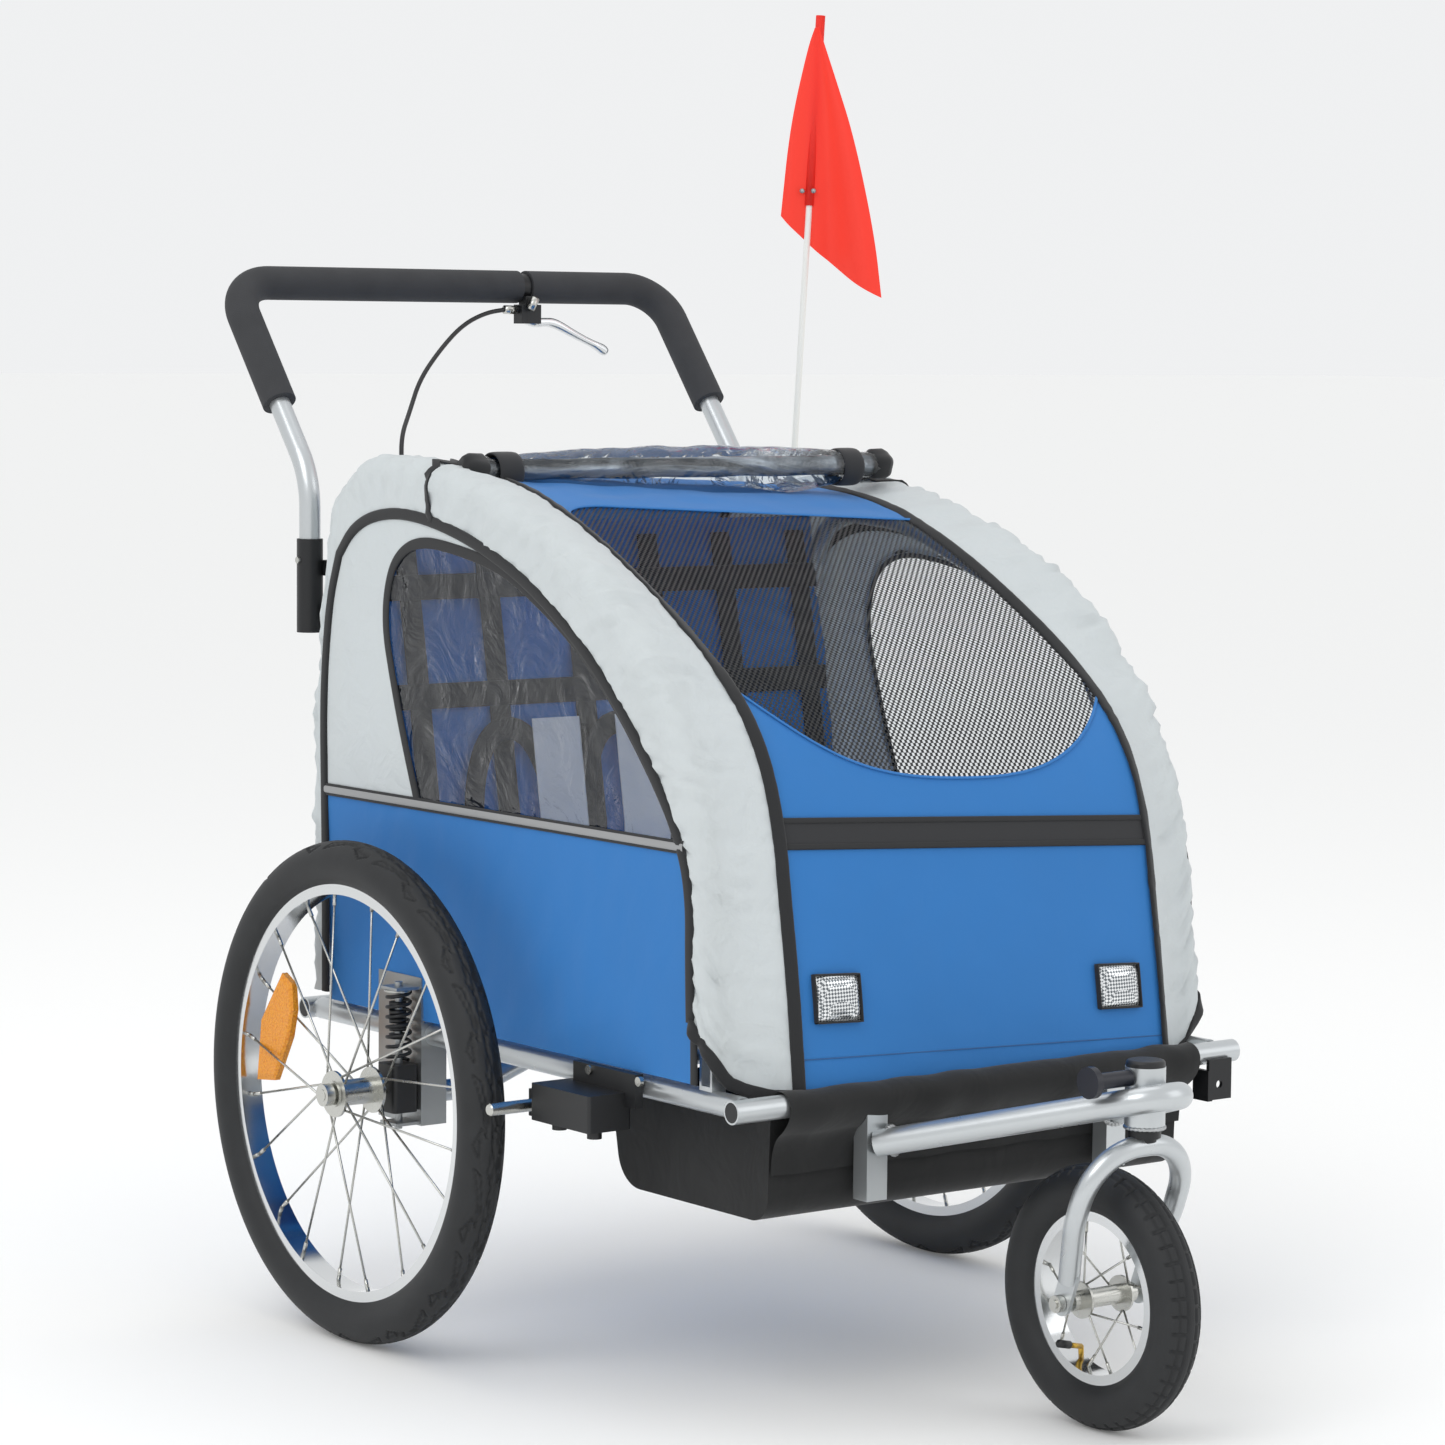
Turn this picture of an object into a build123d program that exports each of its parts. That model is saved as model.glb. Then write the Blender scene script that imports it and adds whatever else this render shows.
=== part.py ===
"""Child bicycle trailer that also rolls as a stroller: steel frame, fabric cabin, three wheels.

Millimetres. +Z is up, the front faces -Y, the trailer's right side is -X. The origin is on the
ground under the middle of the whole trailer. Stations along Y are given from the rear axle.
"""
from build123d import *
from math import asin, atan2, cos, hypot, pi, sin
import os

os.makedirs("parts", exist_ok=True)

SIDES = {"right": -1, "left": 1}

# driving dimensions
AXLE_Y = 202  # rear axle, from the middle of the trailer
AXLE_Z = 250  # half of a 20 inch wheel's 500
TRACK = 373  # centre plane of a rear wheel, from the middle
FLOOR_Z = 302  # centre of the floor frame's tubes
SIDE_X = 289  # centre of a side tube
HOOP_X = 286  # plane of a folding hoop, just inside its side panel
FRONT_Y = AXLE_Y - 537  # front cross tube
REAR_Y = AXLE_Y + 205  # rear cross tube
STEER_Y = AXLE_Y - 748  # caster's steering axis
CASTER_Y = AXLE_Y - 693  # caster's axle at rest
CASTER_Z = 123  # half of a 10 inch wheel's 246
TUBE = 11  # radius of the frame tubes
WALL = 1.6
FIT = 0.05  # radial clearance of a running fit
CLOTH = 3  # thickness that stands for a layer of fabric and its slack


def save(part, name):
    """Label a finished piece and write its STEP file."""
    part.label = name
    export_step(part, f"parts/{name}.step")


def rail(points, radii, plane=Plane.XY):
    """A tube's centre line: straight runs joined by tangent arcs, one radius for each corner."""
    with BuildLine(plane) as line:
        FilletPolyline(*points, radius=radii)
    return line.line


def sweep_tube(path, outer, inner=0.0):
    """Carry a ring along a centre line, inside the part that is being built."""
    with BuildSketch(Plane(origin=path @ 0, z_dir=path % 0)) as ring:
        Circle(outer)
        if inner:
            Circle(inner, mode=Mode.SUBTRACT)
    sweep(ring.sketch, path=path)


def wheel_plane(x, y, z):
    """A sketch plane through a wheel's axis, with its x along the axle and its y outwards."""
    return Plane(origin=(x, y, z), x_dir=(1, 0, 0), z_dir=(0, -1, 0))


def side_plane(x):
    """A sketch plane across the trailer, with its x along Y and its y along Z."""
    return Plane(origin=(x, 0, 0), x_dir=(0, 1, 0), z_dir=(1, 0, 0))


# ---- floor frame ------------------------------------------------------------------------------

with BuildPart() as side_tubes:
    for side in SIDES.values():
        with BuildSketch(Plane(origin=(side * SIDE_X, FRONT_Y + TUBE, FLOOR_Z), z_dir=(0, 1, 0))):
            Circle(TUBE)
            Circle(TUBE - WALL, mode=Mode.SUBTRACT)
        extrude(amount=REAR_Y - FRONT_Y - 2 * TUBE)
save(side_tubes.part, "side_tubes")

FRONT_HALF = 310
with BuildPart() as front_cross_tube:
    with BuildSketch(Plane(origin=(-FRONT_HALF, FRONT_Y, FLOOR_Z), z_dir=(1, 0, 0))):
        Circle(TUBE)
        Circle(TUBE - WALL, mode=Mode.SUBTRACT)
    extrude(amount=2 * FRONT_HALF)
save(front_cross_tube.part, "front_cross_tube")

REAR_HALF = 304
WELL_Y = AXLE_Y - 255
with BuildPart() as floor_cross_tubes:
    for y, half in ((REAR_Y, REAR_HALF), (WELL_Y, SIDE_X - TUBE)):
        with BuildSketch(Plane(origin=(-half, y, FLOOR_Z), z_dir=(1, 0, 0))):
            Circle(TUBE)
            Circle(TUBE - WALL, mode=Mode.SUBTRACT)
        extrude(amount=2 * half)
save(floor_cross_tubes.part, "floor_cross_tubes")

# the beam arches up between the axle plates, so that it clears the ground
PLATE_X = 304  # outer face of an axle plate
PLATE_T = 4
BEAM_Y = AXLE_Y + 24
BEAM_Z = 236
BEAM_RISE = 38
BEAM_END = PLATE_X - PLATE_T
with BuildPart() as axle_beam:
    beam = rail(
        [
            (-BEAM_END, BEAM_Z),
            (-212, BEAM_Z),
            (-110, BEAM_Z + BEAM_RISE),
            (110, BEAM_Z + BEAM_RISE),
            (212, BEAM_Z),
            (BEAM_END, BEAM_Z),
        ],
        [80, 80, 80, 80],
        Plane(origin=(0, BEAM_Y, 0), x_dir=(1, 0, 0), z_dir=(0, -1, 0)),
    )
    sweep_tube(beam, TUBE, TUBE - WALL)
save(axle_beam.part, "axle_beam")

# ---- axle plates, with the suspension's guide rods --------------------------------------------

PLATE_LOW, PLATE_HIGH = 211, 360
PLATE_BACK, PLATE_FRONT = AXLE_Y + 62, AXLE_Y - 17
FLANGE_IN = 274  # inner edge of the flange that turns in behind the side tube
FLANGE_HIGH = 314
ROD_X = 320  # guide rod, on the axle line
ROD_R = 4
TAB_T = 3
TOP_TAB_Z = 350
LOW_TAB_Z = 214
TAB_X = ROD_X + 12
with BuildPart() as axle_plates:
    for side in SIDES.values():
        with BuildSketch(Plane(origin=(side * PLATE_X, 0, 0), z_dir=(-side, 0, 0), x_dir=(0, 1, 0))):
            with BuildLine():
                up = -side  # the sketch's own y points down on one side
                Polyline(
                    (PLATE_BACK, up * PLATE_LOW),
                    (PLATE_FRONT, up * PLATE_LOW),
                    (PLATE_FRONT, up * PLATE_HIGH),
                    (PLATE_BACK, up * PLATE_HIGH),
                    close=True,
                )
            make_face()
        extrude(amount=PLATE_T)
        with Locations((side * (PLATE_X + FLANGE_IN) / 2, PLATE_FRONT + PLATE_T / 2, 0)):
            with Locations((0, 0, (PLATE_LOW + FLANGE_HIGH) / 2)):
                Box(PLATE_X - FLANGE_IN, PLATE_T, FLANGE_HIGH - PLATE_LOW)
        for z in (LOW_TAB_Z, TOP_TAB_Z):
            with Locations((side * (PLATE_X + TAB_X) / 2, AXLE_Y, z)):
                Box(TAB_X - PLATE_X, 30, TAB_T)
        with Locations((side * ROD_X, AXLE_Y, (LOW_TAB_Z + TOP_TAB_Z) / 2)):
            Cylinder(ROD_R, TOP_TAB_Z - LOW_TAB_Z + 12)
        with Locations((side * SIDE_X, AXLE_Y, FLOOR_Z)):
            Cylinder(TUBE, 140, rotation=(90, 0, 0), mode=Mode.SUBTRACT)
save(axle_plates.part, "axle_plates")

# ---- suspension carriers, axles and springs ---------------------------------------------------

CARRIER_LOW, CARRIER_HIGH = 226, 274
AXLE_R = 6
HUB_OUT = 27  # outer end of the hub, from the wheel's centre plane
for name, side in SIDES.items():
    with BuildPart() as carrier:
        with Locations((side * (ROD_X + 1), AXLE_Y, (CARRIER_LOW + CARRIER_HIGH) / 2)):
            Box(29, 33, CARRIER_HIGH - CARRIER_LOW)
        fillet(carrier.edges().filter_by(Axis.Z), 5)
        with Locations((side * ROD_X, AXLE_Y, (CARRIER_LOW + CARRIER_HIGH) / 2)):
            Cylinder(ROD_R + FIT, 80, mode=Mode.SUBTRACT)
        with Locations((side * (ROD_X + 11), AXLE_Y, AXLE_Z)):
            Cylinder(AXLE_R, 14, rotation=(0, 90, 0), mode=Mode.SUBTRACT)
    save(carrier.part, f"{name}_axle_carrier")

    with BuildPart() as axle:
        axle_in = ROD_X + ROD_R + 3
        axle_out = TRACK + HUB_OUT + 10
        with Locations((side * (axle_in + axle_out) / 2, AXLE_Y, AXLE_Z)):
            Cylinder(AXLE_R, axle_out - axle_in, rotation=(0, 90, 0))
        with Locations((side * (TRACK + HUB_OUT + 5), AXLE_Y, AXLE_Z)):
            Cylinder(11, 9, rotation=(0, 90, 0))
    save(axle.part, f"{name}_axle")

    SPRING_R, WIRE_R, SPRING_TURNS = 11.5, 1.9, 7
    SPRING_LOW = CARRIER_HIGH + WIRE_R + 0.2
    SPRING_HIGH = TOP_TAB_Z - TAB_T / 2 - WIRE_R - 0.2
    with BuildPart() as spring:
        coil = Helix(
            pitch=(SPRING_HIGH - SPRING_LOW) / SPRING_TURNS,
            height=SPRING_HIGH - SPRING_LOW,
            radius=SPRING_R,
            center=(side * ROD_X, AXLE_Y, SPRING_LOW),
        )
        with BuildSketch(Plane(origin=coil @ 0, z_dir=coil % 0)):
            Circle(WIRE_R)
        sweep(path=coil, is_frenet=True)
    save(spring.part, f"{name}_spring")

# ---- rear wheels ------------------------------------------------------------------------------

TYRE_MID, TYRE_R, TYRE_WALL = 227, 23, 3
RIM_EDGE, RIM_FLOOR, RIM_HALF = 209.7, 199, 12
FLANGE_X, FLANGE_R = 22, 23
HUB_R = 13
SPOKES = 20


def build_tyre(x, y, z, mid, radius, wall, edge):
    """A tyre whose crown is at mid + radius, with beads that reach down between the rim's walls."""
    with BuildPart() as tyre:
        with BuildSketch(wheel_plane(x, y, z)):
            with Locations((0, mid)):
                Circle(radius)
                Circle(radius - wall, mode=Mode.SUBTRACT)
            with Locations((0, edge / 2 + 0.2)):
                Rectangle(4 * radius, edge, mode=Mode.SUBTRACT)
            for hand in (-1, 1):
                with Locations((hand * 11.5, edge + 1.7)):
                    Rectangle(9, 2.6)
                with Locations((hand * 8.3, edge - 2)):
                    Rectangle(2.6, 8)
        revolve(axis=Axis((x, y, z), (1, 0, 0)))
    return tyre.part


def build_rim(x, y, z, edge, floor, half):
    """A U-shaped rim: two flanges that hold the beads, and a floor with the spokes' nipples."""
    with BuildPart() as rim:
        with BuildSketch(wheel_plane(x, y, z)):
            with Locations((0, floor - 1)):
                Rectangle(2 * half, 2)
            for hand in (-1, 1):
                with Locations((hand * (half - 1), (edge + floor) / 2 - 0.5)):
                    Rectangle(2, edge - floor + 1)
        revolve(axis=Axis((x, y, z), (1, 0, 0)))
    return rim.part


def build_spokes(x, y, z, count, inner, outer, lean, wire):
    """Straight wire spokes, alternately from one hub flange and the other, to the rim's floor."""
    with BuildPart() as spokes:
        for i in range(count):
            turn = 2 * pi * i / count
            hand = 1 if i % 2 else -1
            start = Vector(x + hand * lean, y + inner * cos(turn), z + inner * sin(turn))
            end = Vector(x + hand * 2, y + outer * cos(turn), z + outer * sin(turn))
            with BuildSketch(Plane(origin=start, z_dir=end - start)):
                Circle(wire)
            extrude(amount=(end - start).length)
    return spokes.part


for name, side in SIDES.items():
    centre = (side * TRACK, AXLE_Y, AXLE_Z)
    save(build_tyre(*centre, TYRE_MID, TYRE_R, TYRE_WALL, RIM_EDGE), f"{name}_tyre")
    save(build_rim(*centre, RIM_EDGE, RIM_FLOOR, RIM_HALF), f"{name}_rim")
    spokes = build_spokes(*centre, SPOKES, 20, RIM_FLOOR - 1, FLANGE_X, 1.2)
    save(spokes, f"{name}_spokes")
    with BuildPart() as hub:
        with Locations(Location(centre)):
            Cylinder(HUB_R, 2 * (FLANGE_X + 3), rotation=(0, 90, 0))
            for hand in (-1, 1):
                with Locations((hand * FLANGE_X, 0, 0)):
                    Cylinder(FLANGE_R, 3, rotation=(0, 90, 0))
            Cylinder(AXLE_R + FIT, 80, rotation=(0, 90, 0), mode=Mode.SUBTRACT)
    save(hub.part, f"{name}_hub")

# ---- front arm, head tube and caster ----------------------------------------------------------

POST_X, POST_WIDE, POST_DEEP, POST_LOW = 148, 24, 20, 205
with BuildPart() as front_uprights:
    for side in SIDES.values():
        with Locations((side * POST_X, FRONT_Y, (POST_LOW + FLOOR_Z) / 2)):
            Box(POST_WIDE, POST_DEEP, FLOOR_Z - POST_LOW)
    with Locations((0, FRONT_Y, FLOOR_Z)):
        Cylinder(TUBE, 2 * FRONT_HALF, rotation=(0, 90, 0), mode=Mode.SUBTRACT)
save(front_uprights.part, "front_uprights")

# the arm lies in one plane that climbs towards the head tube, and turns round its front
ARM_R = 12.5
ARM_Z = 259  # where the arm leaves the uprights
HEAD_Z = 313  # arm's height at the head tube
HEAD_R = 18.5
BEND_R = HEAD_R + ARM_R + 0.4
ARM_Y = FRONT_Y - POST_DEEP / 2
reach = ARM_Y - STEER_Y
climb = atan2(HEAD_Z - ARM_Z, reach)
run = hypot(reach, HEAD_Z - ARM_Z)
arm_plane = Plane(
    origin=(0, ARM_Y, ARM_Z), x_dir=(1, 0, 0), z_dir=(0, -sin(climb), -cos(climb))
)
lead = atan2(run, POST_X) + asin(BEND_R / hypot(POST_X, run))
straight = (hypot(POST_X, run) ** 2 - BEND_R**2) ** 0.5
touch = (-POST_X + straight * cos(lead), straight * sin(lead))
with BuildPart() as front_arm:
    with BuildLine(arm_plane) as arm_line:
        Line((-POST_X, 0), touch)
        ThreePointArc(touch, (0, run + BEND_R), (-touch[0], touch[1]))
        Line((-touch[0], touch[1]), (POST_X, 0))
    sweep_tube(arm_line.line, ARM_R, ARM_R - WALL)
save(front_arm.part, "front_arm")

HEAD_LOW, HEAD_HIGH = 289, 345
STEERER_R = 11
BUSH_R = 14
GROOVE_Z = 336  # groove that the retaining knob's pin drops into
PIN_R = 3
with BuildPart() as head_tube:
    with Locations((0, STEER_Y, (HEAD_LOW + HEAD_HIGH) / 2)):
        Cylinder(HEAD_R, HEAD_HIGH - HEAD_LOW)
        Cylinder(BUSH_R, 80, mode=Mode.SUBTRACT)
    with Locations((-HEAD_R, STEER_Y, GROOVE_Z)):
        Cylinder(PIN_R + FIT, 30, rotation=(0, 90, 0), mode=Mode.SUBTRACT)
save(head_tube.part, "head_tube")

BUSH_TALL = 14
with BuildPart() as steerer_bushes:
    for z in (HEAD_LOW + BUSH_TALL / 2, GROOVE_Z - 8 - BUSH_TALL / 2):
        with Locations((0, STEER_Y, z)):
            Cylinder(BUSH_R, BUSH_TALL)
            Cylinder(STEERER_R + FIT, BUSH_TALL, mode=Mode.SUBTRACT)
save(steerer_bushes.part, "steerer_bushes")

# the fork is one bent tube in a plane through the steering axis and the wheel's axle
FORK_R = 10
CROWN_Z = 272
FORK_X = 60
DROP_X = 47
fork_run = hypot(STEER_Y - CASTER_Y, CROWN_Z - CASTER_Z)
fork_plane = Plane(
    origin=(0, CASTER_Y, CASTER_Z),
    x_dir=(1, 0, 0),
    z_dir=(0, -(CROWN_Z - CASTER_Z), STEER_Y - CASTER_Y),
)
with BuildPart() as fork_legs:
    fork_line = rail(
        [
            (-DROP_X, 24),
            (-FORK_X, 84),
            (-FORK_X, fork_run),
            (FORK_X, fork_run),
            (FORK_X, 84),
            (DROP_X, 24),
        ],
        [70, 54, 54, 70],
        fork_plane,
    )
    sweep_tube(fork_line, FORK_R)
    for side in SIDES.values():
        tip = Plane(fork_plane.origin + Vector(side * DROP_X - 2, 0, 0), fork_plane.y_dir, (1, 0, 0))
        with BuildSketch(tip):
            with Locations((14, 0)):
                SlotOverall(52, 22)
            Circle(4.2, mode=Mode.SUBTRACT)
        extrude(amount=4)
save(fork_legs.part, "fork_legs")

with BuildPart() as steerer:
    with Locations((0, STEER_Y, CROWN_Z + 4)):
        Cylinder(STEERER_R, HEAD_HIGH - CROWN_Z - 8, align=(Align.CENTER, Align.CENTER, Align.MIN))
    with Locations((0, STEER_Y, CROWN_Z + 8)):
        Cylinder(15, HEAD_LOW - 0.5 - CROWN_Z - 8, align=(Align.CENTER, Align.CENTER, Align.MIN))
    with Locations((0, STEER_Y, GROOVE_Z)):
        Cylinder(STEERER_R + 1, 2 * PIN_R + 2, mode=Mode.SUBTRACT)
        Cylinder(STEERER_R - 4, 2 * PIN_R + 2)
save(steerer.part, "steerer")

with BuildPart() as caster_axle:
    with Locations((0, CASTER_Y, CASTER_Z)):
        Cylinder(4.15, 2 * DROP_X + 22, rotation=(0, 90, 0))
        for side in SIDES.values():
            with Locations((side * (DROP_X + 6), 0, 0)):
                Cylinder(8, 7, rotation=(0, 90, 0))
save(caster_axle.part, "caster_axle")

CASTER_EDGE, CASTER_FLOOR = 82, 73
caster = (0, CASTER_Y, CASTER_Z)
save(build_tyre(*caster, 100, 23, 3, CASTER_EDGE), "caster_tyre")
save(build_rim(*caster, CASTER_EDGE, CASTER_FLOOR, RIM_HALF), "caster_rim")
save(build_spokes(*caster, 12, 14.5, CASTER_FLOOR - 1, 24.5, 1.0), "caster_spokes")
with BuildPart() as caster_hub:
    with Locations(caster):
        Cylinder(9, 76, rotation=(0, 90, 0))
        for side in SIDES.values():
            with Locations((side * 24.5, 0, 0)):
                Cylinder(17, 2.4, rotation=(0, 90, 0))
        Cylinder(4.2, 90, rotation=(0, 90, 0), mode=Mode.SUBTRACT)
save(caster_hub.part, "caster_hub")

with BuildPart() as lock_knob:
    with Locations((-HEAD_R - 2, STEER_Y, GROOVE_Z)):
        Cylinder(PIN_R, 22, rotation=(0, 90, 0))
    with Locations((-HEAD_R - 24, STEER_Y, GROOVE_Z)):
        Cylinder(7.5, 44, rotation=(0, 90, 0))
        with Locations((-24, 0, 0)):
            Cylinder(14.5, 7, rotation=(0, 90, 0))
save(lock_knob.part, "lock_knob")

# ---- folding side hoops -----------------------------------------------------------------------

# corner of a hoop: y from the axle, z, the way it moves when the hoop grows, and its bend radius
HOOP = [
    (-492, 335, -1, 0, 0),
    (-476, 548, -1, 0.3, 170),
    (-345, 750, -0.7, 0.7, 190),
    (-60, 859, -0.3, 1, 240),
    (138, 868, 1, 1, 62),
    (166, 600, 1, 0, 260),
    (168, 335, 1, 0, 0),
]
HOOP_R = 9.5
HINGE = {"right": 363, "left": 335}
RAISE = {"right": 12, "left": -12}
GROW = {"right": -15, "left": -43}
EYE = 17  # from a hinge pin to where the round tube starts
HINGE_PIN_R = 3


def hoop_points(name):
    """Corners of a side's hoop. The right one stands higher and outside the left one, so the two
    pass each other when both fold in."""
    points = []
    for y, z, out_y, out_z, radius in HOOP:
        foot = radius == 0
        high = HINGE[name] + EYE if foot else z + RAISE[name] + GROW[name] * out_z
        points.append((AXLE_Y + y + GROW[name] * out_y, high))
    return points


for name, side in SIDES.items():
    points = hoop_points(name)
    with BuildPart() as hoop:
        line = rail(points, [c[4] for c in HOOP if c[4]], side_plane(side * HOOP_X))
        sweep_tube(line, HOOP_R, HOOP_R - WALL)
        for y, _ in (points[0], points[-1]):
            with Locations((side * HOOP_X, y, HINGE[name] + (EYE + 3) / 2)):
                Box(13, 12, EYE + 3)
            with Locations((side * HOOP_X, y, HINGE[name])):
                Cylinder(6.5, 12, rotation=(90, 0, 0))
                Cylinder(HINGE_PIN_R + FIT, 20, rotation=(90, 0, 0), mode=Mode.SUBTRACT)
    save(hoop.part, f"{name}_hoop")

EAR_T = 3
with BuildPart() as hoop_brackets:
    for name, side in SIDES.items():
        for y, _ in (hoop_points(name)[0], hoop_points(name)[-1]):
            for ear in (-1, 1):
                ear_z = (HINGE[name] + FLOOR_Z) / 2 + 2.5
                with Locations((side * HOOP_X, y + ear * (6.5 + EAR_T / 2), ear_z)):
                    Box(16, EAR_T, HINGE[name] - FLOOR_Z + 15)
            with Locations((side * HOOP_X, y, FLOOR_Z + TUBE)):
                Box(16, 13, 6)
            with Locations((side * HOOP_X, y, HINGE[name])):
                Cylinder(HINGE_PIN_R, 24, rotation=(90, 0, 0))
        with Locations((side * SIDE_X, 0, FLOOR_Z)):
            Cylinder(TUBE, 2000, rotation=(90, 0, 0), mode=Mode.SUBTRACT)
save(hoop_brackets.part, "hoop_brackets")

# ---- rear frame and handlebar -----------------------------------------------------------------

REAR_POST_X, REAR_POST_R = 258, 10
REAR_BAR_Z = 780
rear_plane = Plane(origin=(0, REAR_Y - 5, 0), x_dir=(1, 0, 0), z_dir=(0, -1, 0))
with BuildPart() as rear_frame:
    post_foot = FLOOR_Z + TUBE - 2
    frame_line = rail(
        [
            (-REAR_POST_X, post_foot),
            (-REAR_POST_X, REAR_BAR_Z),
            (REAR_POST_X, REAR_BAR_Z),
            (REAR_POST_X, post_foot),
        ],
        [70, 70],
        rear_plane,
    )
    sweep_tube(frame_line, REAR_POST_R, REAR_POST_R - WALL)
    with Locations((0, REAR_Y, FLOOR_Z)):
        Cylinder(TUBE, 2 * REAR_HALF, rotation=(0, 90, 0), mode=Mode.SUBTRACT)
save(rear_frame.part, "rear_frame")

HANDLE_X, HANDLE_Y, HANDLE_R = 280, AXLE_Y + 233, 11
SOCKET_LOW, SOCKET_HIGH = 690, 787
with BuildPart() as handle_receivers:
    for side in SIDES.values():
        for z in (SOCKET_LOW + 22, SOCKET_HIGH - 30):
            with Locations((side * 267, REAR_Y + 12, z)):
                Box(8, 20, 16)
        with Locations((side * HANDLE_X, HANDLE_Y, (SOCKET_LOW + SOCKET_HIGH) / 2)):
            Cylinder(13.6, SOCKET_HIGH - SOCKET_LOW)
            with Locations((0, 0, 4)):
                Cylinder(HANDLE_R + FIT, SOCKET_HIGH - SOCKET_LOW, mode=Mode.SUBTRACT)
save(handle_receivers.part, "handle_receivers")

LEG_LOW = SOCKET_LOW + 5
KNEE_Z = 850
BAR_Y, BAR_Z = AXLE_Y + 393, 1052
KNEE_R, CORNER_R = 90, 46


def handle_plane_points(side):
    """One leg of the handlebar, from its foot to the bar's corner."""
    x = side * HANDLE_X
    return [(x, HANDLE_Y, LEG_LOW), (x, HANDLE_Y, KNEE_Z), (x, BAR_Y, BAR_Z)]


leg = handle_plane_points(-1)
handle_line = rail(leg + handle_plane_points(1)[::-1], [KNEE_R, CORNER_R, CORNER_R, KNEE_R])
with BuildPart() as handle_tube:
    sweep_tube(handle_line, HANDLE_R, HANDLE_R - WALL)
save(handle_tube.part, "handle_tube")

# foam runs from each leg's middle to the brake lever's clamp
GRIP_R = 18
GRIP_LOW = 926
CLAMP_X = 92
CLAMP_HALF = 6
slope = (BAR_Y - HANDLE_Y) / (BAR_Z - KNEE_Z)
grip_y = BAR_Y - (BAR_Z - GRIP_LOW) * slope
with BuildPart() as foam_grips:
    for side, stop in ((-1, CLAMP_X - CLAMP_HALF), (1, CLAMP_X + CLAMP_HALF)):
        x = side * HANDLE_X
        grip_line = rail([(x, grip_y, GRIP_LOW), (x, BAR_Y, BAR_Z), (stop, BAR_Y, BAR_Z)], CORNER_R)
        sweep_tube(grip_line, GRIP_R, HANDLE_R)
save(foam_grips.part, "foam_grips")

LEVER_Y, LEVER_Z = BAR_Y - 14, BAR_Z - 31
LEVER_PIN_R = 2.5
with BuildPart() as lever_clamp:
    with Locations((CLAMP_X, BAR_Y, BAR_Z)):
        Cylinder(15, 2 * CLAMP_HALF - 1, rotation=(0, 90, 0))
        Cylinder(HANDLE_R, 30, rotation=(0, 90, 0), mode=Mode.SUBTRACT)
    with Locations((CLAMP_X, LEVER_Y, LEVER_Z + 1)):
        Box(26, 16, 21)
    with Locations((CLAMP_X, LEVER_Y + 2, LEVER_Z + 14)):
        Box(2 * CLAMP_HALF - 1, 14, 14)
    with Locations((CLAMP_X + 5, LEVER_Y, LEVER_Z - 3)):
        Box(26, 7, 20, mode=Mode.SUBTRACT)
    with Locations((CLAMP_X, BAR_Y, BAR_Z)):
        Cylinder(HANDLE_R, 60, rotation=(0, 90, 0), mode=Mode.SUBTRACT)
    with Locations((CLAMP_X, LEVER_Y, LEVER_Z)):
        Cylinder(LEVER_PIN_R, 16, rotation=(90, 0, 0))
    with Locations((CLAMP_X - 19, LEVER_Y, LEVER_Z + 6)):
        Cylinder(4, 14, rotation=(0, 90, 0))
save(lever_clamp.part, "lever_clamp")

with BuildPart() as brake_lever:
    lever_plane = Plane(origin=(CLAMP_X, LEVER_Y, LEVER_Z), x_dir=(1, 0, 0), z_dir=(0, -1, 0))
    with BuildLine(lever_plane) as lever_line:
        Spline((-4, 0), (18, -6), (38, -8), (104, -32))
    lever_path = lever_line.line
    with BuildSketch(Plane(origin=lever_path @ 0, x_dir=(0, 1, 0), z_dir=lever_path % 0)):
        RectangleRounded(6, 9, 2)
    sweep(path=lever_path)
    with Locations(lever_path @ 1):
        Sphere(6)
    with Locations((CLAMP_X, LEVER_Y, LEVER_Z)):
        Cylinder(LEVER_PIN_R + FIT, 20, rotation=(90, 0, 0), mode=Mode.SUBTRACT)
save(brake_lever.part, "brake_lever")

# the brake's cable drops from the lever behind the cabin to its stop on the rear cross tube
CABLE_R = 2.5
CABLE_END = (150, REAR_Y + 20, FLOOR_Z + 16)
cable_points = [
    (CLAMP_X - 27, LEVER_Y, LEVER_Z + 6),
    (CLAMP_X - 62, LEVER_Y, LEVER_Z + 5),
    (CLAMP_X - 150, LEVER_Y - 30, LEVER_Z - 55),
    (CLAMP_X - 240, REAR_Y + 45, 850),
    (CLAMP_X - 150, REAR_Y + 34, 600),
    (CABLE_END[0] - 10, REAR_Y + 30, 420),
    CABLE_END,
]
with BuildPart() as brake_cable:
    sweep_tube(rail(cable_points, [40, 60, 120, 160, 100]), CABLE_R)
save(brake_cable.part, "brake_cable")

# ---- hitch bracket, pin and corner plate ------------------------------------------------------

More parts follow.
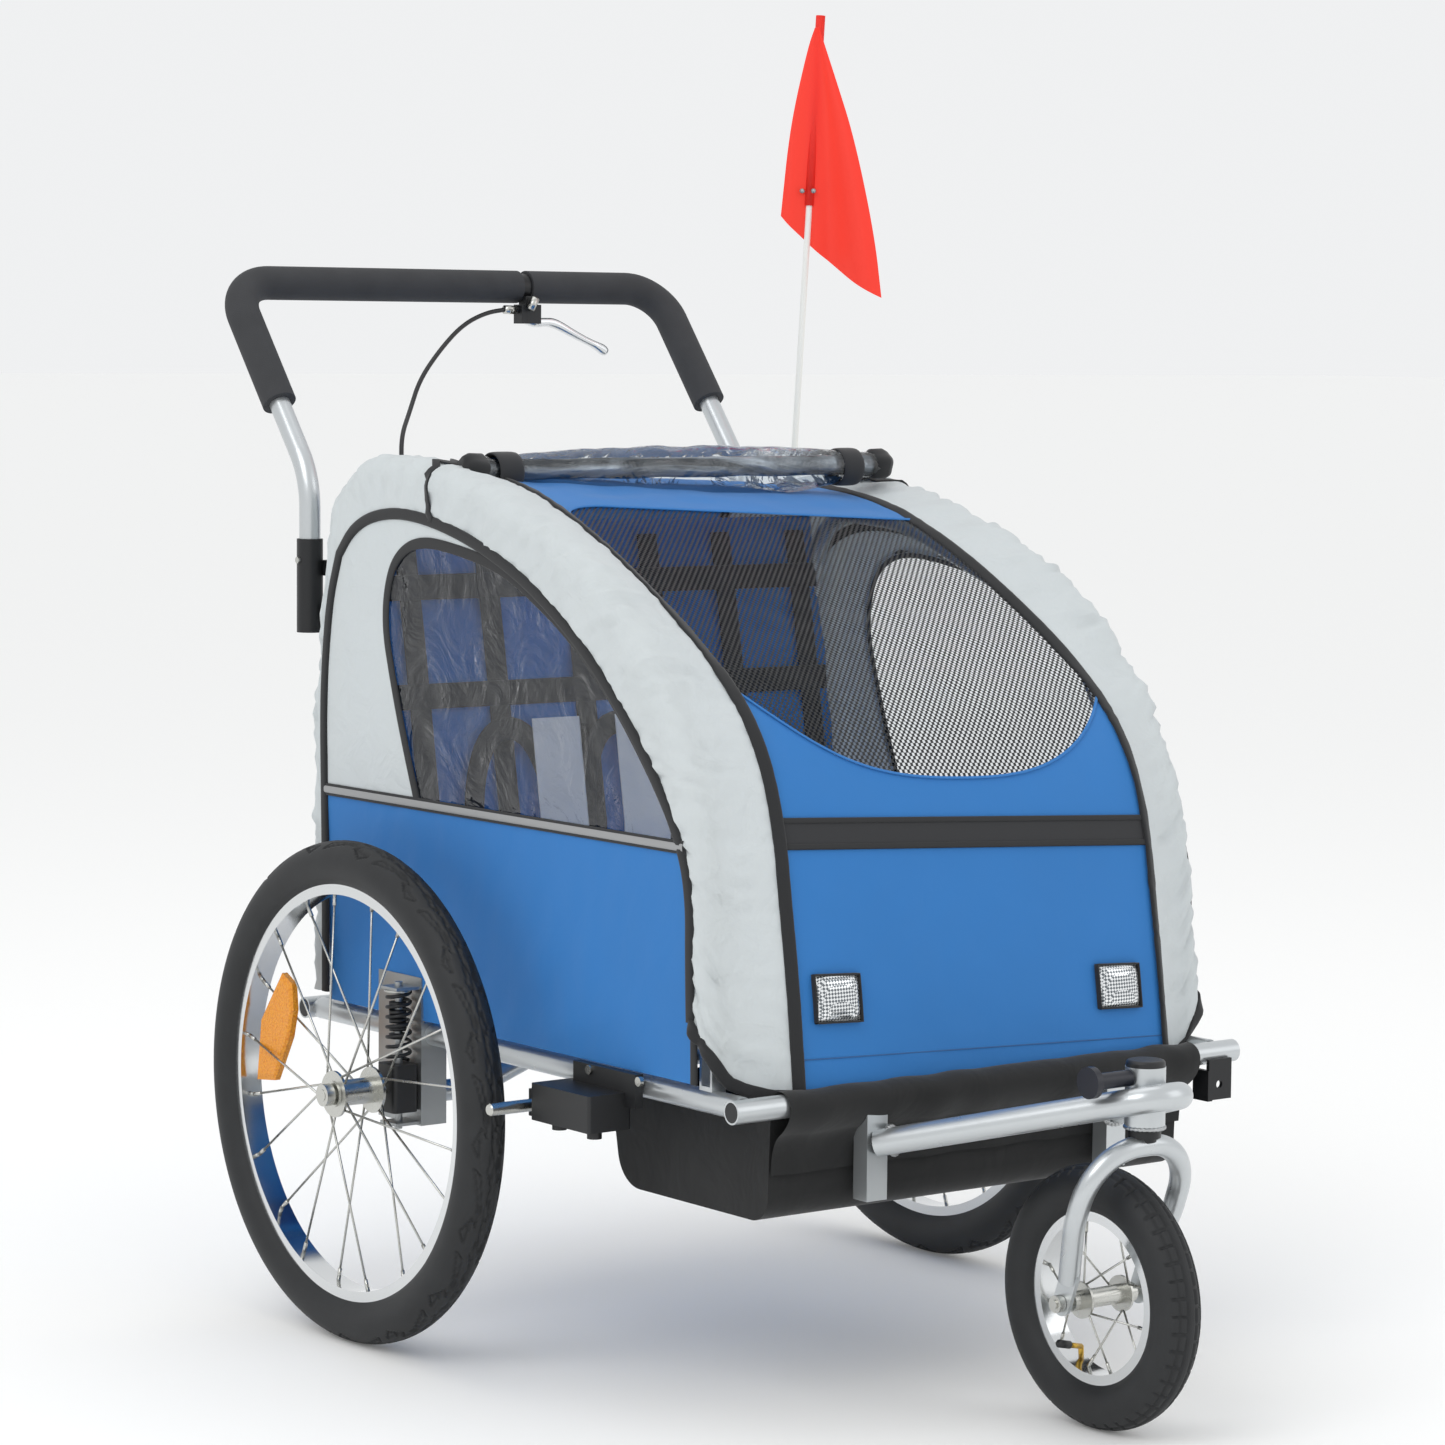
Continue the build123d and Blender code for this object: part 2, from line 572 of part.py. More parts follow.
HITCH_OUT, HITCH_IN = -352, -303
HITCH_BACK, HITCH_FRONT = AXLE_Y - 279, AXLE_Y - 374
HITCH_LOW, HITCH_HIGH = 262, 297
HITCH_PIN_Y, HITCH_PIN_Z, HITCH_PIN_R = AXLE_Y - 266.5, 273, 6
with BuildPart() as hitch_bracket:
    with Locations((HITCH_IN, HITCH_FRONT, HITCH_LOW)):
        Box(
            HITCH_IN - HITCH_OUT,
            HITCH_BACK - HITCH_FRONT,
            HITCH_HIGH - HITCH_LOW,
            align=(Align.MAX, Align.MIN, Align.MIN),
        )
    fillet(hitch_bracket.edges().filter_by(Axis.Z), 3)
    with Locations(((HITCH_IN - 308) / 2 - 1, (HITCH_BACK + HITCH_FRONT) / 2 - 14, 300)):
        Box(9, 100, 32)
    with Locations((-319, HITCH_PIN_Y + 1, HITCH_PIN_Z)):
        Box(32, 28, 26)
    for y in (HITCH_BACK - 18, HITCH_FRONT + 20):
        with Locations((-331, y, HITCH_LOW - 4)):
            Cylinder(7, 10)
    with Locations((-320, HITCH_PIN_Y, HITCH_PIN_Z)):
        Cylinder(HITCH_PIN_R + FIT, 60, rotation=(0, 90, 0), mode=Mode.SUBTRACT)
    with Locations((-SIDE_X, 0, FLOOR_Z)):
        Cylinder(TUBE + 0.1, 2000, rotation=(90, 0, 0), mode=Mode.SUBTRACT)
save(hitch_bracket.part, "hitch_bracket")

with BuildPart() as hitch_pin:
    with Locations((-348, HITCH_PIN_Y, HITCH_PIN_Z)):
        Cylinder(HITCH_PIN_R, 86, rotation=(0, 90, 0))
    chamfer(hitch_pin.edges().sort_by(Axis.X)[0], 1.2)
save(hitch_pin.part, "hitch_pin")

CORNER_HOLE_R = 4
CORNER_X, CORNER_Z = 279, 273
with BuildPart() as corner_plate:
    with Locations((CORNER_X + 1, FRONT_Y - TUBE - 2, 278)):
        Box(30, 4, 40)
    with Locations((CORNER_X - 12, FRONT_Y - 4, 272)):
        Box(6, 22, 30)
    with Locations((CORNER_X, FRONT_Y - TUBE, CORNER_Z)):
        Cylinder(CORNER_HOLE_R, 40, rotation=(90, 0, 0), mode=Mode.SUBTRACT)
    with Locations((0, FRONT_Y, FLOOR_Z)):
        Cylinder(TUBE, 2 * FRONT_HALF, rotation=(0, 90, 0), mode=Mode.SUBTRACT)
save(corner_plate.part, "corner_plate")

# ---- plugs, caps and screws -------------------------------------------------------------------

with BuildPart() as end_caps:
    for y, half in ((FRONT_Y, FRONT_HALF), (REAR_Y, REAR_HALF)):
        for side in SIDES.values():
            with Locations((side * (half - 5), y, FLOOR_Z)):
                Cylinder(TUBE - WALL, 10, rotation=(0, 90, 0))
    with Locations((0, STEER_Y, HEAD_HIGH + 3)):
        Cylinder(HEAD_R - 0.5, 6)
    fillet(end_caps.edges().sort_by(Axis.Z)[-1], 3)
save(end_caps.part, "end_caps")

SCREW_R = 4.5
with BuildPart() as fasteners:
    for y in (AXLE_Y - 318, AXLE_Y - 398):
        with Locations((-311.5, y, 311)):
            Cylinder(SCREW_R, 4, rotation=(0, 90, 0))
    for side in SIDES.values():
        with Locations((side * (HANDLE_X + 14.6), HANDLE_Y, 765)):
            Cylinder(3.5, 2.4, rotation=(0, 90, 0))
save(fasteners.part, "fasteners")

# ---- fabric cabin: each piece a thin closed solid in the true place ---------------------------

# crown of the sleeves over the hoops, seen from the side: y from the axle, z
CROWN = [(-500, 316), (-488, 420), (-470, 565), (-433, 642), (-380, 709), (-303, 770), (-209, 812)]
CROWN += [(-113, 842), (-21, 860), (70, 864), (118, 848), (146, 804), (162, 725), (178, 620), (184, 316)]
# edge that joins the sleeves to the roof, the mesh and the front panel
INNER = [(-538, 308), (-530, 400), (-518, 465), (-500, 548), (-474, 606), (-433, 652), (-365, 704)]
INNER += [(-285, 752), (-210, 790), (-124, 826), (-62, 840), (10, 849), (80, 850), (150, 835), (212, 796)]
# edge that joins the sleeves to the side panels
SEAM = [(-469, 316), (-470, 475), (-458, 520), (-427, 568), (-379, 624), (-315, 683), (-249, 728)]
SEAM += [(-182, 763), (-96, 793), (-6, 810), (58, 808), (104, 790), (133, 758), (150, 696), (161, 600)]
SEAM += [(150, 316)]
SLEEVE_IN, SLEEVE_OUT = 270, 311
PANEL_X = 299
HEM_Z = FLOOR_Z + TUBE + 2  # lowest edge of the cloth, above the floor frame


def outline(points, lift=0.0):
    """Points given from the rear axle, raised, and kept above the floor frame."""
    return [(AXLE_Y + y, max(z + lift, HEM_Z)) for y, z in points]


def band(points, thick, lift=0.0):
    """A strip of cloth seen on edge: an open run of points with a thickness on its inner side."""
    steps = [i / 40 for i in range(41)]
    with BuildLine() as edge:
        face_line = Spline(*outline(points, lift))
        back = [face_line @ t + thick * (face_line % t).rotate(Axis.Z, -90) for t in steps]
        Line(face_line @ 1, back[-1])
        Spline(*back[::-1])
        Line(back[0], face_line @ 0)
    make_face(edge.edges())


with BuildPart() as hoop_sleeves:
    for name, side in SIDES.items():
        inner, outer = sorted((side * SLEEVE_IN, side * SLEEVE_OUT))
        with BuildSketch(side_plane(inner)):
            band(CROWN, CLOTH, RAISE[name])
        extrude(amount=outer - inner)
        start = min(side * SLEEVE_OUT, side * (SLEEVE_OUT - CLOTH))
        with BuildSketch(side_plane(start)):
            with BuildLine():
                top = Spline(*outline(CROWN, RAISE[name]))
                Polyline(top @ 1, *outline(SEAM[::-1], RAISE[name]), top @ 0)
            make_face()
        extrude(amount=CLOTH)
save(hoop_sleeves.part, "hoop_sleeves")

with BuildPart() as side_panels:
    for name, side in SIDES.items():
        start = min(side * PANEL_X, side * (PANEL_X - CLOTH))
        with BuildSketch(side_plane(start)):
            with BuildLine():
                Polyline(*outline(SEAM, RAISE[name]), close=True)
            make_face()
        extrude(amount=CLOTH)
save(side_panels.part, "side_panels")

SPAN = SLEEVE_IN - 2
for label, first, last in (("front_panel", 0, 6), ("mesh_window", 5, 12), ("roof_panel", 11, 15)):
    with BuildPart() as panel:
        with BuildSketch(side_plane(-SPAN)):
            band(INNER[first:last], CLOTH)
        extrude(amount=2 * SPAN)
    save(panel.part, label)

with BuildPart() as rear_panel:
    with Locations((0, REAR_Y + 13, 555)):
        Box(500, CLOTH, 466)
save(rear_panel.part, "rear_panel")

ROLL_Y, ROLL_Z, ROLL_R = AXLE_Y - 36, 864, 13
with BuildPart() as rain_cover_roll:
    with Locations((0, ROLL_Y, ROLL_Z)):
        Cylinder(ROLL_R, 2 * (SLEEVE_IN - 4), rotation=(0, 90, 0))
save(rain_cover_roll.part, "rain_cover_roll")

WELL_X, WELL_FRONT, WELL_BACK, WELL_LOW = 252, AXLE_Y - 520, AXLE_Y - 268, 190
WELL_HIGH = FLOOR_Z - TUBE - 0.5
with BuildPart() as footwell:
    with BuildSketch(side_plane(-WELL_X)):
        with BuildLine():
            FilletPolyline(
                (WELL_FRONT, WELL_HIGH),
                (WELL_FRONT + 4, WELL_LOW),
                (WELL_BACK - 20, WELL_LOW),
                (WELL_BACK, WELL_HIGH),
                radius=[24, 36],
            )
            Line((WELL_BACK, WELL_HIGH), (WELL_FRONT, WELL_HIGH))
        make_face()
    extrude(amount=2 * WELL_X)
    offset(amount=-CLOTH, openings=footwell.faces().sort_by(Axis.Z)[-1])
save(footwell.part, "footwell")

with BuildPart() as seat_base:
    with Locations((0, AXLE_Y - 90, 340)):
        Box(2 * 240, 250, 30)
    fillet(seat_base.edges().filter_by(Axis.X), 12)
save(seat_base.part, "seat_base")

with BuildPart() as seat_back:
    with BuildSketch(side_plane(-240)):
        with BuildLine():
            Polyline(
                (AXLE_Y + 40, 330),
                (AXLE_Y + 62, 330),
                (AXLE_Y + 112, 730),
                (AXLE_Y + 92, 730),
                close=True,
            )
        make_face()
    extrude(amount=480)
save(seat_back.part, "seat_back")

with BuildPart() as harness:
    for seat in (-1, 1):
        for strap in (-1, 1):
            with BuildSketch(side_plane(seat * 118 + strap * 46 - 12)):
                with BuildLine():
                    Polyline(
                        (AXLE_Y + 37, 370),
                        (AXLE_Y + 39, 370),
                        (AXLE_Y + 81, 690),
                        (AXLE_Y + 79, 690),
                        close=True,
                    )
                make_face()
            extrude(amount=24)
        with Locations((seat * 118, AXLE_Y - 20, 365)):
            Box(34, 44, 12)
save(harness.part, "harness")

# ---- safety flag ------------------------------------------------------------------------------

POLE_R = 3.5
POLE_LOW, POLE_HIGH = (306, AXLE_Y + 203, 470), (363, AXLE_Y + 203, 1352)
with BuildPart() as flag_pole:
    foot, tip = Vector(*POLE_LOW), Vector(*POLE_HIGH)
    with BuildSketch(Plane(origin=foot, z_dir=tip - foot)):
        Circle(POLE_R)
    extrude(amount=(tip - foot).length)
save(flag_pole.part, "flag_pole")

SOCKET_T = (510 - POLE_LOW[2]) / (POLE_HIGH[2] - POLE_LOW[2])
with BuildPart() as flag_socket:
    middle = foot + (tip - foot) * SOCKET_T
    with Locations(((REAR_POST_X + middle.X) / 2 + 2, REAR_Y - 5, middle.Z)):
        Box(middle.X - REAR_POST_X, 10, 26)
    with Locations((REAR_POST_X, REAR_Y - 5, middle.Z)):
        Cylinder(REAR_POST_R + 3, 26)
        Cylinder(REAR_POST_R, 40, mode=Mode.SUBTRACT)
    with BuildSketch(Plane(origin=middle, z_dir=tip - foot)):
        Circle(POLE_R + 3)
    extrude(amount=30, both=True)
    with BuildSketch(Plane(origin=middle, z_dir=tip - foot)):
        Circle(POLE_R)
    extrude(amount=60, both=True, mode=Mode.SUBTRACT)
save(flag_socket.part, "flag_socket")

# the pennant hangs in a plane that turns a little forward; x along it, y up from its lower fold
FLAG = [(-33, 0), (-22, 100), (-2, 190), (12, 190), (52, 95), (86, -40), (92, -94), (58, -45), (22, -15)]
flag_plane = Plane(origin=(349, AXLE_Y + 203, 1133), x_dir=(0.607, -0.795, 0), z_dir=(-0.795, -0.607, 0))
with BuildPart() as safety_flag:
    with BuildSketch(flag_plane.offset(-CLOTH / 2)):
        with BuildLine():
            Polyline(*FLAG, close=True)
        make_face()
    extrude(amount=CLOTH)
save(safety_flag.part, "safety_flag")
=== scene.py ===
"""Looks of a child bicycle trailer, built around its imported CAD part."""

from math import asin, cos, pi, radians, sin

import bpy
import numpy as np
from mathutils import Matrix, Vector


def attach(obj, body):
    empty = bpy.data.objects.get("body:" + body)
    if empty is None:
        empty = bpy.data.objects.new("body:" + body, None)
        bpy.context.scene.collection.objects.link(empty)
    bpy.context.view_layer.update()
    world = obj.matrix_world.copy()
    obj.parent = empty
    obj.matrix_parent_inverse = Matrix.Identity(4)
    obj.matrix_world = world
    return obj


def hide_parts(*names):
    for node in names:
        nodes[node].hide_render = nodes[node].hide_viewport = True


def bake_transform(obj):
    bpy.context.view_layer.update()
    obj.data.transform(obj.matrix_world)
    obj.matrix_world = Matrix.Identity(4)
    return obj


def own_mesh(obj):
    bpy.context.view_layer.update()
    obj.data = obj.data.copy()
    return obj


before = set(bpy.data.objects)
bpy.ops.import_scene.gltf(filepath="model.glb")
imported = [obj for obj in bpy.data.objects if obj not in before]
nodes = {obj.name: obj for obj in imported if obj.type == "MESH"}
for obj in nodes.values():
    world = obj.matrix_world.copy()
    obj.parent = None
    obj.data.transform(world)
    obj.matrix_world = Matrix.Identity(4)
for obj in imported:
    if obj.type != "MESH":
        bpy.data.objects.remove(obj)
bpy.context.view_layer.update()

# ---- camera -----------------------------------------------------------------------------------
# The view from the trailer's right front, a little above the handlebar's height.

AXLE_Y = 0.202  # rear axle, from the middle of the trailer


def srgb(code):
    """A colour picked on screen, as linear red, green, blue and 1."""
    rgb = [int(code[i : i + 2], 16) / 255 for i in (1, 3, 5)]
    return [c / 12.92 if c <= 0.04045 else ((c + 0.055) / 1.055) ** 2.4 for c in rgb] + [1]


azimuth, pitch, roll = radians(-37.0347), radians(5.0674), radians(0.4703)
back = Vector((sin(azimuth) * cos(pitch), -cos(azimuth) * cos(pitch), sin(pitch)))
level = Vector((cos(azimuth), sin(azimuth), 0))
right = cos(roll) * level + sin(roll) * back.cross(level)
camera = bpy.data.objects.new("camera", bpy.data.cameras.new("camera"))
bpy.context.scene.collection.objects.link(camera)
camera.data.sensor_width, camera.data.lens = 36, 108.37
camera.matrix_world = Matrix.Translation((-2.6516, -3.4207, 0.9988)) @ Matrix(
    (right, back.cross(right), back)
).transposed().to_4x4()
bpy.context.scene.camera = camera

# ---- studio -----------------------------------------------------------------------------------
# A plain pale floor, a big soft light over each shoulder and a pale surround.


def add(tree, kind, props=None, **sockets):
    """A shader node with its properties and its sockets set: a number, a colour or a link."""
    made = tree.nodes.new("ShaderNode" + kind)
    for key, value in (props or {}).items():
        setattr(made, key, value)
    for key, value in sockets.items():
        slot = made.inputs[int(key[1:]) if key[1:].isdigit() else key.replace("_", " ")]
        if isinstance(value, bpy.types.NodeSocket):
            tree.links.new(value, slot)
        else:
            slot.default_value = value
    return made


def blank(name):
    """A new material and its empty node tree."""
    made = bpy.data.materials.new(name)
    made.use_nodes = True
    made.node_tree.nodes.clear()
    return made, made.node_tree


def surface(tree, shader):
    """Ends a material at this shader."""
    add(tree, "OutputMaterial", Surface=shader)


def mesh(name, points, faces, material, uv=None, smooth=True):
    """A mesh object from points in the row frame. uv, if given, is one pair for each point."""
    data = bpy.data.meshes.new(name)
    data.from_pydata([tuple(p) for p in np.asarray(points, float).reshape(-1, 3)], [], faces)
    data.materials.append(material)
    data.polygons.foreach_set("use_smooth", [smooth] * len(data.polygons))
    if uv is not None:
        pairs = np.asarray(uv, float).reshape(-1, 2)
        corner = np.empty(len(data.loops), int)
        data.loops.foreach_get("vertex_index", corner)
        data.uv_layers.new(name="real").data.foreach_set("uv", pairs[corner].ravel())
    made = bpy.data.objects.new(name, data)
    bpy.context.scene.collection.objects.link(made)
    return made


backdrop, tree = blank("backdrop")
paint = add(tree, "BsdfPrincipled", Base_Color=srgb("#F6F6F5"), Roughness=0.9)
paint.inputs["Emission Color"].default_value = srgb("#F6F6F5")
paint.inputs["Emission Strength"].default_value = 0.08  # light from the sides of a bright studio
surface(tree, paint.outputs[0])
floor = mesh("floor", [(-90, -90, 0), (90, -90, 0), (90, 90, 0), (-90, 90, 0)], [(0, 1, 2, 3)], backdrop)

world = bpy.data.worlds.new("studio")
bpy.context.scene.world = world
world.use_nodes = True
world.node_tree.nodes["Background"].inputs[0].default_value = srgb("#FBFCFD")
world.node_tree.nodes["Background"].inputs[1].default_value = 0.9


def softbox(name, at, size, power):
    """A square area light aimed at the cabin."""
    lamp = bpy.data.objects.new(name, bpy.data.lights.new(name, "AREA"))
    lamp.data.size, lamp.data.energy = size, power
    lamp.location = at
    lamp.rotation_euler = (Vector((0, 0, 0.45)) - Vector(at)).to_track_quat("-Z", "Y").to_euler()
    bpy.context.scene.collection.objects.link(lamp)


softbox("key_light", (-3.2, -1.2, 3.4), 2.4, 44)
softbox("fill_light", (2.6, -3.4, 2.2), 2.6, 15)
softbox("top_light", (0.2, 0.8, 4.0), 2.6, 14)
bpy.context.scene.view_settings.view_transform = "Standard"
bpy.context.scene.view_settings.look = "None"

# ---- frame tubes and other metal --------------------------------------------------------------
# Mild steel tube with a satin silver powder coat; the plates and brackets are black or zinc.


GRAIN = 0.25  # how far the gloss of a metal strays from its middle


def metal(name, code, rough, metallic=1.0):
    """Coated or plated metal: a slightly uneven gloss and a faint orange-peel surface."""
    made, tree = blank(name)
    place = add(tree, "TexCoord").outputs["Object"]
    noise = add(tree, "TexNoise", Vector=place, Scale=60.0, Detail=4.0).outputs["Fac"]
    gloss = add(tree, "MapRange", Value=noise, To_Min=rough * (1 - GRAIN), To_Max=rough * (1 + GRAIN))
    fine = add(tree, "TexNoise", Vector=place, Scale=900.0, Detail=2.0).outputs["Fac"]
    bump = add(tree, "Bump", Height=fine, Strength=0.06, Distance=0.0004).outputs[0]
    shader = add(
        tree, "BsdfPrincipled", Base_Color=srgb(code), Metallic=metallic,
        Roughness=gloss.outputs[0], Normal=bump,
    )
    surface(tree, shader.outputs[0])
    return made


SHARP = radians(34)


def dress(names, material):
    """Shows CAD nodes in a material, smooth except at edges that turn by more than SHARP."""
    for name in names.split():
        data = nodes[name].data
        data.materials.clear()
        data.materials.append(material)
        data.polygons.foreach_set("use_smooth", [True] * len(data.polygons))
        data.set_sharp_from_angle(angle=SHARP)


silver = metal("silver_coat", "#C6CACC", 0.3, 0.8)
black_steel = metal("black_steel", "#1C1D1F", 0.42, 0.2)
zinc = metal("zinc_plate", "#C4C4BF", 0.27)
chrome = metal("bright_plate", "#D9DBDC", 0.13)
dark_zinc = metal("plate_zinc", "#A7AAAB", 0.4, 0.9)

dress("side_tubes front_cross_tube floor_cross_tubes axle_beam front_uprights front_arm head_tube", silver)
dress("right_hoop left_hoop rear_frame handle_tube fork_legs hoop_brackets", silver)
dress("axle_plates", dark_zinc)
dress("handle_receivers corner_plate lever_clamp steerer right_spring left_spring", black_steel)
dress("right_axle left_axle caster_axle fasteners hitch_pin right_hub left_hub caster_hub", zinc)
dress("right_rim left_rim caster_rim", chrome)
polished = metal("polished_alloy", "#D6D8DA", 0.16)

# ---- plastic parts ----------------------------------------------------------------------------
# Injection-moulded black nylon with a fine spark texture; the knob is the same with a blue cast.


def plastic(name, code, rough=0.45, bumps=0.25):
    """Moulded plastic with a fine even texture."""
    made, tree = blank(name)
    place = add(tree, "TexCoord").outputs["Object"]
    fine = add(tree, "TexNoise", Vector=place, Scale=1400.0, Detail=2.0).outputs["Fac"]
    bump = add(tree, "Bump", Height=fine, Strength=bumps, Distance=0.0003).outputs[0]
    shader = add(tree, "BsdfPrincipled", Base_Color=srgb(code), Roughness=rough, Normal=bump)
    surface(tree, shader.outputs[0])
    return made


black_plastic = plastic("black_plastic", "#1B1C1E")
dress("end_caps hitch_bracket right_axle_carrier left_axle_carrier flag_socket steerer_bushes", black_plastic)
dress("lock_knob", plastic("knob_plastic", "#1A1C26", 0.35))
dress("flag_pole", plastic("fibreglass", "#E9E9E4", 0.3, 0.1))

# ---- grips ------------------------------------------------------------------------------------
# Closed-cell foam sleeves, charcoal, pushed on over the bar.

made, tree = blank("grip_foam")
place = add(tree, "TexCoord").outputs["Object"]
cells = add(tree, "TexVoronoi", Vector=place, Scale=1100.0).outputs["Distance"]
patch = add(tree, "TexNoise", Vector=place, Scale=35.0, Detail=3.0).outputs["Fac"]
tone = add(tree, "MixRGB", Fac=patch, Color1=srgb("#2F3032"), Color2=srgb("#3B3C3F")).outputs[0]
bump = add(tree, "Bump", Height=cells, Strength=0.35, Distance=0.0004).outputs[0]
surface(tree, add(tree, "BsdfPrincipled", Base_Color=tone, Roughness=0.85, Normal=bump).outputs[0])
dress("foam_grips", made)

# ---- tyres ------------------------------------------------------------------------------------
# Moulded black rubber, 20 x 1.75 inch behind and 10 x 1.75 inch in front, with a shallow road
# tread: two wavy lines round the crown and leaning blocks on the shoulders.


def rubber():
    """Black tyre rubber, dustier in some random patches than in others."""
    made, tree = blank("tyre_rubber")
    place = add(tree, "TexCoord").outputs["Object"]
    dust = add(tree, "TexNoise", Vector=place, Scale=45.0, Detail=5.0).outputs["Fac"]
    tone = add(tree, "MixRGB", Fac=dust, Color1=srgb("#17181A"), Color2=srgb("#232527")).outputs[0]
    fine = add(tree, "TexNoise", Vector=place, Scale=700.0, Detail=3.0).outputs["Fac"]
    bump = add(tree, "Bump", Height=fine, Strength=0.2, Distance=0.0004).outputs[0]
    shader = add(tree, "BsdfPrincipled", Base_Color=tone, Roughness=0.62, Normal=bump)
    surface(tree, shader.outputs[0])
    return made


TREAD = [  # lines of one tread unit: along the tyre in units, then across it from -1 to 1
    [(0.02, 0.56), (0.30, 0.60), (0.17, 0.86), (0.02, 0.56)],
    [(0.42, 0.74), (0.50, 0.42), (0.86, 0.24), (1.08, 0.30), (0.80, 0.40), (0.56, 0.60), (0.42, 0.74)],
    [(1.08, 0.30), (0.98, 0.52), (1.14, 0.50), (1.08, 0.74)],
    [(0.15, 0.02), (0.45, 0.16), (0.62, -0.02), (0.88, 0.08), (1.15, 0.02)],
]


UNITS, UNIT_MM, SHOULDER_MM, GROOVE_MM = 17, 92, 25, 1.1


def tread_road(turn, v):
    """Groove depth from 0 to 1 for the rear tyres. v runs from -1 to 1 across the tread.

    The unit's lines repeat UNITS times round the tyre, turned half a unit on and mirrored for the
    other shoulder; the groove fades out GROOVE_MM from a line."""
    unit = 2 * pi / UNITS
    along = turn / unit + np.where(v < 0, 0.5, 0)
    near = np.full(turn.shape, 1.0)
    for line in TREAD:
        for (u0, v0), (u1, v1) in zip(line, line[1:]):
            a, b = np.array([u0 * UNIT_MM, v0 * SHOULDER_MM]), np.array([u1 * UNIT_MM, v1 * SHOULDER_MM])
            for hop in (-1, 0, 1):
                p = np.stack([(along % 1 + hop) * UNIT_MM, np.abs(v) * SHOULDER_MM], -1) - a
                t = np.clip(p @ (b - a) / ((b - a) @ (b - a)), 0, 1)
                near = np.minimum(near, np.linalg.norm(p - t[..., None] * (b - a), axis=-1) / GROOVE_MM)
    return np.clip(1.35 * (1 - near), 0, 1)


def tread_blocks(turn, v):
    """Groove depth for the front tyre: a centre line and a ladder of cross cuts."""
    side = np.abs(v)
    line = np.abs(side - 0.17) < 0.04
    cut = (np.sin(46 * turn + np.where(v > 0, 0, pi)) > 0.83) & (side > 0.17) & (side < 0.8)
    second = np.abs(side - 0.52) < 0.03
    return (line | cut | second).astype(float)


BEAD_HALF = 0.0112  # half the width between a tyre's beads


def tyre(name, centre, mid, radius, edge, tread, turns, across, body, depth=0.0022):
    """A tyre as a surface turned about its axle, with the tread cut into the crown."""
    low = asin((mid - edge) / radius)
    angles = np.linspace(-pi / 2 - (pi / 2 - low), pi / 2 + (pi / 2 - low), across)
    turn, angle = np.meshgrid(np.linspace(0, 2 * pi, turns, endpoint=False), angles, indexing="ij")
    crown = radians(62)
    cut = tread(turn, angle / crown) * (np.abs(angle) < crown)
    swell = radius - depth * cut
    reach = mid + swell * np.cos(angle)
    x = centre[0] + swell * np.sin(angle)
    rows = np.stack([x, centre[1] + reach * np.cos(turn), centre[2] + reach * np.sin(turn)], -1)
    lip = rows[:, [0, -1]].copy()
    for i, hand in ((0, -1), (1, 1)):
        lip[:, i, 0] = centre[0] + hand * BEAD_HALF
        lip[:, i, 1] = centre[1] + (edge - 0.004) * np.cos(turn[:, 0])
        lip[:, i, 2] = centre[2] + (edge - 0.004) * np.sin(turn[:, 0])
    rows = np.concatenate([lip[:, :1], rows, lip[:, 1:]], 1)
    count = rows.shape[1]
    faces = [
        (i * count + j, ((i + 1) % turns) * count + j, ((i + 1) % turns) * count + j + 1, i * count + j + 1)
        for i in range(turns)
        for j in range(count - 1)
    ]
    made = mesh(name + "_rubber", rows, faces, tyre_rubber)
    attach(made, body)
    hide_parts(name)


tyre_rubber = rubber()
WHEELS = {"right": -0.373, "left": 0.373}
AXLE_Z = 0.25
for side, x in WHEELS.items():
    tyre(side + "_tyre", (x, AXLE_Y, AXLE_Z), 0.227, 0.023, 0.2105, tread_road, 1700, 64, side + "_wheel")
CASTER = (0.0, AXLE_Y - 0.693, 0.123)
tyre("caster_tyre", CASTER, 0.1, 0.023, 0.0835, tread_blocks, 900, 56, "caster_wheel", 0.002)

# ---- spokes -----------------------------------------------------------------------------------
# Plated 2.4 mm wire, crossed once near the hub, with a plated nipple at each rim hole.


def rods(name, pairs, radius, material, sides=8):
    """Straight round rods between pairs of points, as one mesh."""
    points, faces = [], []
    for start, end in pairs:
        start, end = Vector(start), Vector(end)
        along = (end - start).normalized()
        across = along.orthogonal().normalized()
        other = along.cross(across)
        base = len(points)
        for end_point in (start, end):
            for k in range(sides):
                a = 2 * pi * k / sides
                points.append(end_point + radius * (cos(a) * across + sin(a) * other))
        faces += [
            (base + k, base + (k + 1) % sides, base + sides + (k + 1) % sides, base + sides + k)
            for k in range(sides)
        ]
        faces += [tuple(range(base + sides - 1, base - 1, -1)), tuple(range(base + sides, base + 2 * sides))]
    return mesh(name, points, faces, material)


def spokes(name, centre, count, inner, outer, flange, lean, wire, body):
    """A wheel's wires: neighbours leave opposite flanges and lean opposite ways."""
    pairs, ends = [], []
    for i in range(count):
        hand = 1 if i % 2 else -1
        sway = lean if (i // 2) % 2 else -lean
        out = 2 * pi * (i + 0.5) / count
        root = out + sway
        start = Vector(centre) + Vector((hand * flange, inner * cos(root), inner * sin(root)))
        end = Vector(centre) + Vector((hand * 0.002, outer * cos(out), outer * sin(out)))
        pairs.append((start, end))
        ends.append((end, end + (start - end).normalized() * 0.013))
    wires = rods(name + "_wire", pairs, wire, zinc)
    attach(wires, body)
    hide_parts(name)
    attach(rods(name + "_nipples", ends, wire * 1.7, zinc), body)


